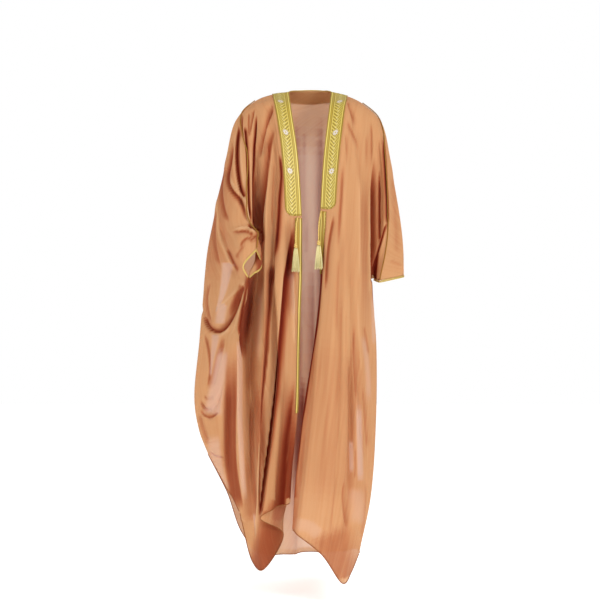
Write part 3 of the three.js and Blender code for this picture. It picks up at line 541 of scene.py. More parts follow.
def pressed(x, z, creases):
    """How deep the listed creases press a place in, and how dark they leave it.

    A crease is a smooth line of (x, z) places. Across it the depth falls off as e to minus the
    power, sharp, of distance over half width. If sharp isn't given, the narrower side is a steep
    wall, and the other a soft slope that starts with a crisp bend. Taper narrows it along its
    length, and it fades at both ends. Depths add up; the darkness is painted shade in the cloth's
    colour, of several the greatest counts, and the ridges' painted highlights add to it.
    """
    push, dark, light = np.zeros_like(x), np.zeros_like(x), np.zeros_like(x)
    for c in creases:
        line = through(np.array(c["line"], float), [CREASE_STEPS] * (len(c["line"]) - 1))
        reach = CREASE_REACH * max(c["wide"])
        (low_x, low_z), (high_x, high_z) = line.min(0) - reach, line.max(0) + reach
        near = (x > low_x) & (x < high_x) & (z > low_z) & (z < high_z)
        away = np.stack([x[near], z[near]], -1)[:, None] - line[None]
        closest = (away ** 2).sum(-1).argmin(1)
        away = away[np.arange(len(away)), closest]
        run = unit(np.gradient(line, axis=0))[closest]
        side = run[:, 0] * away[:, 1] - run[:, 1] * away[:, 0]
        at_end = (closest == 0) | (closest == len(line) - 1)
        distance = np.where(at_end, np.linalg.norm(away, axis=-1), np.abs(side))
        share = closest / (len(line) - 1)
        half = np.where(side < 0, *c["wide"]) * (1 + (c.get("taper", 1) - 1) * share)
        usual = STEEP_POWERS[int(np.sign(c["wide"][0] - c["wide"][1]))]
        bell = np.exp(-(distance / half) ** np.where(side < 0, *c.get("sharp", usual)))
        fade_in, fade_out = c.get("fade", CREASE_FADE)
        bell *= rise((share + 0.001) / fade_in) * rise((1.001 - share) / fade_out)
        push[near] += c.get("deep", 0) * bell
        # A positive mark is painted shade in the colour, a negative one painted highlight.
        mark = c.get("dark", 0) * bell
        dark[near] = np.maximum(dark[near], mark)
        light[near] = np.minimum(light[near], mark)
    return push, dark + light


def sighted(grid):
    """The x and z of each point, sighted from far in front on the plane of the two front edges."""
    near = (CAMERA_DISTANCE * 1000 + EDGE_PLANE) / (CAMERA_DISTANCE * 1000 + grid[..., 1])
    eye_height = camera.location.z * 1000
    return grid[..., 0] * near, eye_height + (grid[..., 2] - eye_height) * near


def crease(grid, facing):
    """Presses the folds into a grid along its normals, those of the front and those of the rear.

    Returns the grid, the painted shade and painted highlight that the folds leave in each point's
    colour, and how sheer the cloth is there, where its colour is also painted paler.
    """
    normals = normals_of(grid, facing)
    x, y, z = (grid[..., k] for k in range(3))
    front = rise((FRONT_FOLDS_UNTIL - y) / FRONT_FOLDS_FADE)
    front_push, front_lean = fold_depth(x, z, FOLDS_FRONT)
    back_push, back_lean = fold_depth(x, z, FOLDS_BACK)
    broad = front * front_push + (1 - front) * back_push + swag_depth(x, y, z)
    sideways = np.zeros_like(grid)
    sideways[..., 0] = front * front_lean + (1 - front) * back_lean
    folded = grid - normals * (BROAD_SHARE * broad)[..., None] + sideways
    place = sighted(folded)
    faces_front = (rise((0.3 - normals[..., 1]) / 0.4)
                   * rise((FRONT_MARKS_UNTIL - y) / FRONT_MARKS_FADE))
    # shade: painted shade in the troughs and painted highlight on the ridges, for the colour.
    fine, shade = pressed(*place, FRONT_CREASES)
    fine_back, shade_back = pressed(x, z, BACK_CREASES)
    fine = np.where(np.isnan(x), np.nan, faces_front * fine + (1 - faces_front) * fine_back)
    shade = faces_front * shade + (1 - faces_front) * shade_back
    # How much sheerer the cloth is made, and how much paler its colour is painted: painted light.
    sheer = (pressed(*place, SHEER_PAINTED_PALE_PLACES)[1] * faces_front
             + pressed(x, z, SHEER_PAINTED_PALE_BEHIND)[1] * (1 - faces_front))
    # Broad folds add painted shade by their depth.
    return folded - normals * fine[..., None], shade + BROAD_PAINTED_SHADE * broad, sheer


# Creases, listed as (x, z) places from top to bottom or from left to right. wide gives the
# half widths on the two sides: left and right of a falling crease, below and above a crossing one.
# dark is painted shade in the cloth's colour, in troughs, recesses and the shade beside them. A
# ridge has a negative depth and a negative dark: painted highlight.
FRONT_CREASES = [
    # The right shoulder and chest, gathered from the band and the shoulder seam.
    dict(line=[(-113, -22), (-116, -52), (-127, -82), (-137, -112), (-146, -150), (-152, -200)],
         deep=4, wide=(7, 3), dark=0.42),
    dict(line=[(-104, -98), (-112, -122), (-119, -158), (-124, -200), (-131, -250), (-138, -300),
         (-143, -350), (-147, -400), (-147, -450), (-143, -510)], deep=7, wide=(10, 3.5), taper=1.3,
         dark=0.72, sharp=(1.6, 4), fade=(0.3, 0.3)),
    dict(line=[(-154, -280), (-157, -340), (-156, -420)], wide=(12, 11), dark=0.55, sharp=(3, 3),
         fade=(0.6, 0.2)),
    dict(line=[(-108, -190), (-110, -260), (-113, -330), (-116, -410)], deep=2, wide=(3, 3),
         dark=0.16),
    dict(line=[(-122, -150), (-128, -210), (-134, -270), (-138, -330), (-140, -430)], deep=-3,
         wide=(2, 6), dark=-0.3),
    dict(line=[(-162, -56), (-164, -100), (-167, -150), (-168, -200), (-170, -250), (-170, -300),
         (-170, -350), (-168, -400)], deep=4, wide=(3.5, 2.5), dark=1.4, sharp=(1.6, 3),
         fade=(0.15, 0.05)),
    dict(line=[(-168, -215), (-169, -300), (-168, -400)], deep=2, wide=(2, 8), dark=0.45,
         fade=(0.4, 0.2)),
    dict(line=[(-198, -94), (-195, -130), (-191, -180), (-188, -250), (-186, -320), (-180, -385)],
         deep=5, wide=(2.5, 4.5), dark=1.35, fade=(0.1, 0.1)),
    dict(line=[(-213, -88), (-220, -130), (-223, -180), (-220, -230), (-214, -270), (-205, -298),
         (-197, -312)], deep=6, wide=(2.5, 5), dark=1.4, fade=(0.15, 0.1)),
    dict(line=[(-207, -110), (-209, -180), (-204, -240), (-197, -285)], deep=-2, wide=(3, 4),
         dark=-0.3),
    dict(line=[(-225, -108), (-229, -160), (-227, -220), (-220, -265), (-211, -292)], deep=-2,
         wide=(4, 2), dark=-0.4),
    dict(line=[(-168, -42), (-176, -80), (-183, -118)], deep=3, wide=(5, 2.5), dark=0.4),
    dict(line=[(-186, -52), (-187, -88), (-184, -128)], deep=3, wide=(2, 5), dark=0.35),
    dict(line=[(-204, -58), (-206, -95), (-203, -135)], deep=3, wide=(5, 2.5), dark=0.45),
    dict(line=[(-178, -150), (-179, -220), (-178, -300), (-176, -370)], deep=-2, wide=(3, 2),
         dark=-0.3),
    dict(line=[(-226, -112), (-234, -165), (-242, -212), (-248, -245), (-247, -265), (-238, -286),
         (-224, -303), (-211, -317), (-203, -335), (-196, -362), (-190, -390)], deep=6, wide=(6, 4),
         dark=0.78, sharp=(1.8, 3)),
    dict(line=[(-240, -245), (-236, -263), (-224, -286), (-208, -301), (-197, -318), (-190, -345),
         (-185, -372), (-182, -394)], deep=-4, wide=(3, 2.5), dark=-0.6),
    dict(line=[(-257, -200), (-266, -250), (-268, -290), (-264, -330), (-256, -360), (-243, -388)],
         deep=4, wide=(10, 4), dark=0.48, sharp=(1.5, 3)),
    dict(line=[(-282, -300), (-280, -355), (-275, -410), (-262, -452), (-250, -480), (-238, -507),
         (-224, -532)], deep=-4, wide=(5, 3), dark=-0.3),
    dict(line=[(-276, -330), (-288, -380), (-291, -430), (-284, -480), (-272, -525)], deep=3,
         wide=(14, 6), dark=0.32),
    # The sleeve's outer side, turned from the light, and the cloth below it.
    dict(line=[(-254, -150), (-276, -300), (-296, -450), (-312, -640)], wide=(34, 46), dark=0.12,
         sharp=(3, 3), fade=(0.2, 0.3)),
    dict(line=[(-192, -1060), (-184, -1180), (-170, -1290)], wide=(22, 20), dark=0.17, sharp=(3, 3),
         fade=(0.4, 0.1)),
    # Crumples over the raised wrist.
    dict(line=[(-192, -388), (-184, -396), (-172, -403), (-160, -408), (-151, -416), (-147, -430),
         (-152, -450)], deep=5, wide=(2, 4), dark=1.0, fade=(0.15, 0.1)),
    dict(line=[(-236, -407), (-214, -403), (-192, -400), (-176, -408), (-160, -416), (-154, -430)],
         deep=-4, wide=(3, 2), dark=-0.5),
    dict(line=[(-240, -414), (-215, -410), (-192, -410), (-176, -417), (-163, -428), (-155, -441)],
         deep=5, wide=(5, 2.5), dark=0.6),
    dict(line=[(-214, -462), (-206, -444), (-190, -431), (-174, -434), (-160, -446)], deep=3,
         wide=(6, 2.5), dark=0.45),
    dict(line=[(-226, -500), (-219, -478), (-209, -462), (-197, -452)], deep=3, wide=(6, 3),
         dark=0.25),
    dict(line=[(-254, -462), (-243, -487), (-231, -511), (-216, -536)], deep=4, wide=(2.5, 6),
         dark=0.45),
    # The long folds of the right skirt.
    dict(line=[(-94, -178), (-91, -210), (-89, -245), (-91, -275), (-94, -310), (-96, -350),
         (-99, -400), (-103, -450), (-108, -500)], deep=4, wide=(2.5, 4.5), taper=1.7, dark=1.4,
         fade=(0.15, 0.2)),
    dict(line=[(-112, -500), (-114, -560), (-117, -620), (-124, -700), (-129, -780), (-137, -850),
         (-144, -920), (-148, -1000), (-152, -1060)], deep=7, wide=(12, 4), dark=0.78, taper=0.5,
         fade=(0.1, 0.25)),
    dict(line=[(-154, -840), (-152, -960), (-148, -1060), (-146, -1170)], wide=(18, 14), dark=0.33,
         sharp=(3, 3), fade=(0.3, 0.3)),
    dict(line=[(-88, -480), (-84, -560), (-88, -640), (-94, -720), (-100, -790), (-108, -870),
         (-116, -940), (-124, -1020), (-134, -1100), (-146, -1200)], deep=-3, wide=(5, 2),
         dark=-0.4),
    dict(line=[(-50, -390), (-58, -440), (-68, -500), (-78, -560), (-84, -620), (-89, -680),
         (-94, -740), (-98, -790), (-103, -850), (-108, -910), (-115, -960), (-122, -1020),
         (-131, -1090), (-139, -1150), (-147, -1220), (-151, -1262)], deep=3.5, wide=(4, 18),
         dark=1.35, sharp=(3, 1.7), taper=0.3, fade=(0.12, 0.02)),
    dict(line=[(-45, -840), (-54, -920), (-60, -980), (-68, -1040), (-73, -1100), (-76, -1150),
         (-79, -1200), (-82, -1240)], deep=6, wide=(9, 3), taper=2.3, dark=1.0, sharp=(1.6, 4),
         fade=(0.3, 0.02)),
    dict(line=[(-42, -840), (-52, -980), (-60, -1100), (-64, -1225)], deep=1, wide=(9, 12),
         dark=0.75, sharp=(3, 3), taper=1.5, fade=(0.7, 0.02)),
    dict(line=[(-149, -560), (-152, -650), (-154, -720), (-158, -820)], deep=-3, wide=(10, 8),
         dark=-0.6),
    dict(line=[(-174, -490), (-182, -560), (-184, -640), (-198, -740), (-204, -800)], wide=(13, 14),
         dark=0.8, sharp=(3, 2), fade=(0.3, 0.4)),
    dict(line=[(-183, -548), (-194, -600), (-204, -655), (-211, -715), (-207, -765), (-200, -805)],
         deep=9, wide=(3, 16), dark=1.0, sharp=(4, 1.8), fade=(0.2, 0.3)),
    dict(line=[(-196, -580), (-203, -620), (-213, -657), (-227, -697), (-245, -732)], deep=-4,
         wide=(4, 3), dark=-0.25, fade=(0.3, 0.3)),
    dict(line=[(-172, -700), (-178, -780), (-182, -840), (-184, -900)], deep=2, wide=(8, 8),
         dark=0.15),
    dict(line=[(-148, -1000), (-151, -1080), (-152, -1150), (-153, -1230), (-152, -1268)], deep=4,
         wide=(3, 3), dark=0.55, fade=(0.3, 0.02)),
    dict(line=[(-152, -1010), (-156, -1110), (-159, -1200), (-163, -1280), (-165, -1350)], deep=-2,
         wide=(2, 2.5), dark=-0.45),
    dict(line=[(-51, -540), (-50, -620), (-48, -700), (-46, -760)], deep=-3, wide=(4, 2),
         dark=-0.35),
    dict(line=[(-176, -900), (-178, -1000), (-176, -1100), (-170, -1200), (-163, -1290)], deep=3,
         wide=(5, 9), dark=0.3),
    # The cloth hung from the raised forearm.
    dict(line=[(-322, -666), (-314, -686), (-303, -704), (-289, -713), (-271, -714), (-254, -703),
         (-240, -683), (-227, -655), (-215, -625), (-205, -597)], deep=8, wide=(2.5, 6), dark=0.8,
         fade=(0.1, 0.1)),
    dict(line=[(-306, -716), (-290, -724), (-270, -724), (-252, -713), (-238, -692)], deep=-4,
         wide=(3, 3), dark=-0.45),
    dict(line=[(-199, -572), (-214, -604), (-230, -645), (-244, -690)], deep=5, wide=(14, 9),
         dark=0.66, sharp=(5, 3), fade=(0.12, 0.5)),
    dict(line=[(-192, -560), (-215, -584), (-240, -608), (-262, -630), (-284, -652)], deep=-3,
         wide=(5, 2), dark=-0.35, fade=(0.1, 0.1)),
    dict(line=[(-300, -560), (-312, -610), (-308, -655), (-298, -690)], deep=4, wide=(8, 3),
         dark=0.28),
    dict(line=[(-332, -922), (-322, -943), (-308, -951), (-294, -944), (-284, -932)], deep=4,
         wide=(2, 5), dark=0.42),
    dict(line=[(-334, -947), (-321, -967), (-302, -974), (-285, -965), (-270, -948)], deep=4,
         wide=(2, 5), dark=0.42),
    dict(line=[(-322, -905), (-312, -918), (-300, -915), (-292, -905)], deep=3, wide=(2, 4),
         dark=0.3),
    dict(line=[(-320, -720), (-309, -770), (-304, -830), (-312, -890)], deep=4, wide=(2.5, 6),
         dark=0.4),
    dict(line=[(-262, -728), (-274, -780), (-288, -835), (-304, -895)], deep=3, wide=(8, 8),
         dark=0.3, sharp=(4, 4)),
    dict(line=[(-238, -745), (-238, -830), (-240, -910), (-242, -1000), (-241, -1080),
         (-235, -1150), (-225, -1210), (-214, -1262)], deep=3, wide=(18, 17), dark=0.52,
         sharp=(7, 10), fade=(0.35, 0.15)),
    dict(line=[(-215, -735), (-214, -850), (-214, -950), (-211, -1050), (-204, -1150),
         (-196, -1235)], deep=-3, wide=(6, 9), dark=-0.3, sharp=(10, 2)),
    dict(line=[(-304, -1077), (-285, -1089), (-262, -1096)], deep=2, wide=(2, 2), dark=0.7),
    dict(line=[(-336, -960), (-322, -1010), (-306, -1060)], deep=3, wide=(7, 7), dark=0.2),
    dict(line=[(-224, -1260), (-206, -1280), (-194, -1288)], deep=-2, wide=(2, 2), dark=-0.4),
    # The left shoulder, chest and sleeve.
    dict(line=[(113, -20), (120, -45), (128, -70), (133, -98)], deep=3, wide=(3, 6), dark=0.2,
         fade=(0.1, 0.4)),
    dict(line=[(110, -75), (120, -98), (130, -120), (140, -145), (150, -178)], deep=3, wide=(6, 3),
         dark=0.22, fade=(0.2, 0.5)),
    dict(line=[(104, -105), (108, -140), (111, -180), (112, -235)], deep=3, wide=(3, 7), dark=0.12,
         fade=(0.3, 0.5)),
    dict(line=[(99, -195), (96, -250), (93, -310), (89, -360), (86, -420), (84, -500)], deep=4,
         wide=(5, 5), dark=0.32, fade=(0.3, 0.4)),
    dict(line=[(174, -100), (173, -160), (172, -240)], deep=2, wide=(7, 8), dark=0.14,
         fade=(0.4, 0.5)),
    dict(line=[(184, -66), (186, -120), (185, -180), (182, -250)], deep=3, wide=(5, 2.5), dark=0.22,
         fade=(0.3, 0.5)),
    dict(line=[(193, -180), (188, -230), (185, -280), (184, -350), (184, -420), (184, -490),
         (185, -566)], deep=8, wide=(2, 10), dark=0.9, sharp=(4, 1.4), fade=(0.45, 0.02)),
    dict(line=[(208, -220), (209, -300), (209, -380), (209, -448)], deep=3, wide=(3.5, 2.5),
         dark=1.15, fade=(0.3, 0.1)),
    dict(line=[(204, -466), (197, -505), (193, -540), (191, -566)], deep=3, wide=(5, 6), dark=1.25,
         sharp=(3, 3), fade=(0.3, 0.02)),
    dict(line=[(221, -115), (226, -170), (229, -220), (231, -265), (234, -315), (235, -360),
         (235, -396)], deep=3, wide=(6, 3), dark=1.4, fade=(0.2, 0.15)),
    dict(line=[(234, -386), (225, -406), (215, -436), (207, -462), (200, -487), (194, -515)],
         deep=5, wide=(3, 3), dark=1.4),
    dict(line=[(247, -220), (256, -320), (262, -420), (264, -500)], deep=3, wide=(9, 9), dark=0.12),
    dict(line=[(240, -498), (254, -502), (268, -509), (280, -518)], deep=2, wide=(14, 3), dark=0.1),
    dict(line=[(197, -556), (198, -600), (199, -655)], deep=2, wide=(9, 12), dark=0.8, sharp=(4, 3),
         fade=(0.05, 0.5)),
    # The left skirt: soft and nearly straight.
    dict(line=[(80, -700), (66, -900), (52, -1080), (40, -1260)], wide=(80, 110), dark=0.07,
         sharp=(3, 3)),
    dict(line=[(181, -280), (181, -400), (181, -520), (181, -612)], deep=-2, wide=(2.5, 1.5),
         dark=-0.45),
    dict(line=[(72, -356), (64, -395), (56, -440), (50, -490), (47, -540), (44, -600)], deep=3,
         wide=(3, 6), dark=0.5),
    dict(line=[(85, -480), (82, -560), (80, -640), (82, -740)], deep=1.2, wide=(7, 4), dark=0.10),
    dict(line=[(166, -240), (166, -350), (167, -450), (168, -560), (168, -680), (166, -800)],
         deep=2.5, wide=(14, 13), dark=0.13, sharp=(4, 3), fade=(0.2, 0.5)),
    dict(line=[(149, -250), (149, -350), (149, -470), (148, -560)], deep=-2, wide=(3, 1.5),
         dark=-0.25),
    dict(line=[(92, -580), (92, -720), (88, -850), (84, -1000), (80, -1120)], deep=1.8,
         wide=(10, 4), dark=0.10),
    dict(line=[(108, -640), (106, -800), (104, -960)], deep=1.2, wide=(2, 5), dark=0.08),
    dict(line=[(130, -690), (131, -780), (134, -850), (138, -935)], deep=3.0, wide=(2.5, 6),
         dark=0.26),
    dict(line=[(117, -560), (117, -700), (118, -850)], deep=-1.2, wide=(4, 2), dark=-0.12),
    dict(line=[(141, -600), (145, -700), (150, -780), (154, -840)], deep=-1.2, wide=(2, 4),
         dark=-0.17),
    dict(line=[(163, -690), (172, -740), (178, -790)], deep=2.4, wide=(8, 3), dark=0.17),
    dict(line=[(157, -860), (163, -940), (168, -1010), (172, -1080)], deep=2.4, wide=(3, 8),
         dark=0.18),
    dict(line=[(120, -930), (124, -1000), (128, -1060)], deep=1.8, wide=(2, 5), dark=0.12),
    dict(line=[(106, -1150), (97, -1195), (98, -1240), (104, -1285), (110, -1312)], deep=2.4,
         wide=(2, 9), dark=0.20),
    dict(line=[(74, -1080), (72, -1180), (66, -1260), (60, -1330), (66, -1400)], deep=1.8,
         wide=(8, 3), dark=0.11),
    dict(line=[(135, -1060), (136, -1110), (134, -1165)], deep=1.8, wide=(2, 4), dark=0.18),
    dict(line=[(166, -1150), (168, -1220), (162, -1290), (152, -1350)], deep=1.8, wide=(6, 3),
         dark=0.12),
    dict(line=[(-12, -1000), (-26, -1100), (-38, -1200)], deep=1.8, wide=(4, 12), dark=0.09),
    dict(line=[(-70, -1244), (-86, -1272), (-92, -1312)], wide=(46, 14), dark=0.55, sharp=(4, 4),
         fade=(0.05, 0.05)),
    # The two tips, where one layer hangs clear of the rest, darkened by painted shade.
    dict(line=[(-98, -1262), (-110, -1310), (-126, -1370), (-146, -1440)], wide=(45, 40), dark=0.5,
         sharp=(4, 4), fade=(0.02, 0.02)),
    dict(line=[(40, -1300), (70, -1380), (98, -1465)], wide=(60, 70), dark=0.22, sharp=(3, 3),
         fade=(0.3, 0.02)),
    # The edge, rolled in towards the body, with painted shade along the roll.
    dict(line=[(40, -395), (37, -450), (33, -520), (28, -600), (18, -700), (5, -780), (-7, -860),
         (-17, -930), (-29, -1000), (-39, -1100), (-49, -1200)], deep=5, wide=(8, 4), dark=0.9,
         fade=(0.15, 0.2)),
]
# Creases of the back, each with painted shade along it.
BACK_CREASES = [
    dict(line=[(-22, -850), (-28, -1000), (-34, -1120), (-38, -1225)], deep=3, wide=(13, 13),
         dark=0.85, sharp=(2, 2), fade=(0.3, 0.15)),
    dict(line=[(-168, -40), (-178, -160), (-188, -300), (-190, -460)], deep=6, wide=(5, 12),
         dark=0.5),
    dict(line=[(-128, -30), (-140, -200), (-156, -480), (-170, -800), (-184, -1120)], deep=7,
         wide=(6, 16), dark=0.6),
    dict(line=[(-92, -30), (-100, -240), (-110, -520), (-112, -760)], deep=5, wide=(14, 5),
         dark=0.4),
    dict(line=[(-78, -360), (-84, -640), (-98, -1000), (-116, -1420)], deep=7, wide=(6, 15),
         dark=0.55),
    dict(line=[(-44, -24), (-48, -300), (-50, -700), (-56, -1100), (-62, -1440)], deep=8,
         wide=(7, 14), dark=0.6),
    dict(line=[(-14, -60), (-16, -260), (-12, -520)], deep=4, wide=(8, 5), dark=0.3),
    dict(line=[(8, -440), (10, -760), (14, -1100), (16, -1440)], deep=6, wide=(12, 6), dark=0.42),
    dict(line=[(36, -24), (42, -320), (46, -700), (50, -1440)], deep=7, wide=(14, 6), dark=0.6),
    dict(line=[(72, -60), (78, -260), (80, -520), (78, -760)], deep=5, wide=(6, 12), dark=0.36),
    dict(line=[(96, -330), (98, -700), (94, -1100), (90, -1400)], deep=6, wide=(12, 6), dark=0.5),
    dict(line=[(124, -40), (136, -240), (146, -520), (146, -900), (140, -1300)], deep=7,
         wide=(15, 6), dark=0.6),
    dict(line=[(158, -60), (172, -200), (182, -340), (186, -480)], deep=6, wide=(12, 5), dark=0.45),
    dict(line=[(170, -560), (178, -800), (174, -1100), (160, -1340)], deep=6, wide=(12, 6),
         dark=0.4),
    dict(line=[(214, -120), (232, -260), (240, -400), (236, -520)], deep=5, wide=(10, 6),
         dark=0.32),
    dict(line=[(-232, -120), (-246, -300), (-252, -500), (-248, -760)], deep=6, wide=(8, 14),
         dark=0.42),
    dict(line=[(-286, -240), (-302, -460), (-304, -700), (-290, -980)], deep=5, wide=(10, 8),
         dark=0.35),
    dict(line=[(-262, -640), (-268, -860), (-256, -1100), (-236, -1230)], deep=7, wide=(14, 8),
         dark=0.4),
]
# Places where the cloth is made sheerer and its colour is painted paler, given as creases are:
# painted light, where the light behind shows through fewer layers. Less than none is denser and
# darker: the two tips.
SHEER_PAINTED_PALE_PLACES = [
    dict(line=[(-248, -505), (-254, -545), (-263, -590), (-273, -625), (-284, -655)], wide=(18, 17),
         dark=1, sharp=(6, 6), taper=0.12, fade=(0.02, 0.02)),
    dict(line=[(-262, -630), (-268, -660), (-272, -690)], wide=(15, 12), dark=0.9, sharp=(5, 5),
         fade=(0.05, 0.05)),
    dict(line=[(-285, -722), (-290, -760), (-297, -800), (-303, -850)], wide=(12, 11), dark=0.85,
         sharp=(5, 5), taper=0.2, fade=(0.03, 0.1)),
    dict(line=[(-262, -762), (-272, -820), (-281, -880), (-289, -930), (-294, -968)], wide=(15, 14),
         dark=0.95, sharp=(5, 5), taper=1.8, fade=(0.15, 0.1)),
    dict(line=[(-215, -735), (-213, -850), (-214, -950), (-210, -1050), (-204, -1150),
         (-196, -1235)], wide=(8, 8), dark=0.85, sharp=(5, 5), fade=(0.06, 0.15)),
    dict(line=[(-290, -1020), (-284, -1080), (-272, -1150), (-255, -1200)], wide=(22, 14), dark=0.7,
         sharp=(5, 5)),
    dict(line=[(-170, -1260), (-166, -1300), (-164, -1340)], wide=(4, 3), dark=0.8, sharp=(5, 5)),
    dict(line=[(-54, -520), (-53, -600), (-50, -680)], wide=(6, 5), dark=0.4),
    dict(line=[(144, -920), (145, -1000), (147, -1080), (149, -1165)], wide=(6, 11), dark=0.95,
         sharp=(5, 5), fade=(0.25, 0.08)),
    dict(line=[(122, -1040), (123, -1080), (124, -1145)], wide=(6, 6), dark=0.8, sharp=(5, 5),
         fade=(0.2, 0.15)),
    dict(line=[(158, -720), (168, -780), (175, -850), (178, -940)], wide=(8, 7), dark=0.5,
         sharp=(3, 3)),
    dict(line=[(138, -1180), (146, -1240), (144, -1300)], wide=(24, 18), dark=0.4, sharp=(3, 3)),
    dict(line=[(188, -600), (190, -680), (192, -760)], wide=(5, 8), dark=0.6),
    dict(line=[(-50, -1290), (0, -1300), (34, -1330)], wide=(24, 14), dark=0.35, sharp=(5, 5)),
    dict(line=[(50, -1320), (72, -1390), (98, -1470)], wide=(50, 60), dark=-0.6, sharp=(5, 5),
         fade=(0.3, 0.01)),
    dict(line=[(-140, -1280), (-148, -1360), (-150, -1450)], wide=(50, 50), dark=-0.6, sharp=(5, 5),
         fade=(0.3, 0.01)),
]
# On the inside of the back, seen through the open front, the cloth is made sheerer and painted
# paler: painted light on cloth that lies in the shade of the fronts.
SHEER_PAINTED_PALE_BEHIND = [
    dict(line=[(-4, -60), (-3, -300), (-2, -600), (-1, -960)], wide=(85, 80), dark=0.6,
         sharp=(2, 2), fade=(0.2, 0.6)),
    dict(line=[(3, -1130), (5, -1290), (6, -1445)], wide=(85, 80), dark=0.6, sharp=(2, 2),
         fade=(0.6, 0.05)),
]

FOLDS_FRONT = [
    dict(top=-5, bottom=-165, x=(-124, -130, -152), deep=9, wide=12),
    dict(top=-60, bottom=-440, x=(-104, -140, -156), deep=9, wide=13, lean=3),
    dict(top=-120, bottom=-520, x=(-84, -98, -106), deep=4, wide=9, lean=1),
    dict(top=-85, bottom=-310, x=(-222, -227, -212), deep=16, wide=9),
    dict(top=-200, bottom=-320, x=(-256, -250, -216), deep=12, wide=10),
    dict(top=-380, bottom=-535, x=(-276, -262, -230), deep=12, wide=11),
    dict(top=-350, bottom=-640, x=(-60, -58, -54), deep=20, wide=13),
    dict(top=-690, bottom=-1060, x=(-126, -133, -140), deep=10, wide=9),
    dict(top=-820, bottom=-1260, x=(-64, -76, -96), deep=24, wide=14),
    dict(top=-860, bottom=-1130, x=(-252, -258, -262), deep=16, wide=12),
    dict(top=-5, bottom=-240, x=(122, 142, 156), deep=8, wide=10),
    dict(top=-95, bottom=-400, x=(208, 211, 212), deep=12, wide=8),
    dict(top=-330, bottom=-900, x=(92, 88, 84), deep=8, wide=11),
    dict(top=-380, bottom=-1180, x=(124, 126, 126), deep=9, wide=11),
    dict(top=-700, bottom=-1060, x=(144, 150, 165), deep=12, wide=9),
    dict(top=-730, bottom=-1300, x=(118, 124, 104), deep=13, wide=10),
    dict(top=-400, bottom=-1300, x=(30, 0, -52), deep=16, wide=11),
]

back_sections = [{**right, **{f"left_{rib}": place for rib, place in left.items() if rib != "at"}}
                 for right, left in zip(BACK_RIGHT, BACK_LEFT)]
back_ribs = ["seam", "lip", "side", "outer", "rear", "blade", "centre",
             "left_blade", "left_rear", "left_side", "left_sleeve", "left_outer", "left_seam"]
back_across = ACROSS_BACK_RIGHT + ACROSS_BACK_LEFT[::-1]
back_grid, back_painted_shade, back_sheer = crease(
    weave(back_sections, back_ribs, DOWN_BACK, back_across), 1)
BACK_SIDE_RIGHT = sum(ACROSS_BACK_RIGHT[:2])
BACK_SIDE_LEFT = sum(back_across) - sum(ACROSS_BACK_LEFT[:3])


RIDGE_MARK = -0.6  # the painted highlight of a full ridge; 0 is plain cloth and 1 the painted shade of a full trough
DEEPEST_MARK = 1.6  # the painted shade at the bottom of a narrow fold
COLOUR_STOPS = 9  # from plain cloth to the deepest mark
THREAD_PITCH = 0.0013  # metres from one thread of the weave to the next
STREAK_SCALE = (95.0, 3.0, 1.0)  # many across the cloth, few down it
STREAK_DEPTH = 0.24
PEBBLE_SCALE = 620.0
PEBBLE_DEPTH = 0.16
CREPE_RELIEF = 0.0004
WEAVE_COVER = 0.1  # how much more the crossing of two threads covers
PAINTED_PALE_SHARE = 0.75  # of the painted pale colour, painted light where the cloth is sheerest
GLOW_SHARE = 0.36  # of the light that is scattered on to the other side
CREPE_TINT = (0.985, 0.93, 0.88, 1)  # of the light that goes straight through
CLOTH_THICKNESS = 0.8


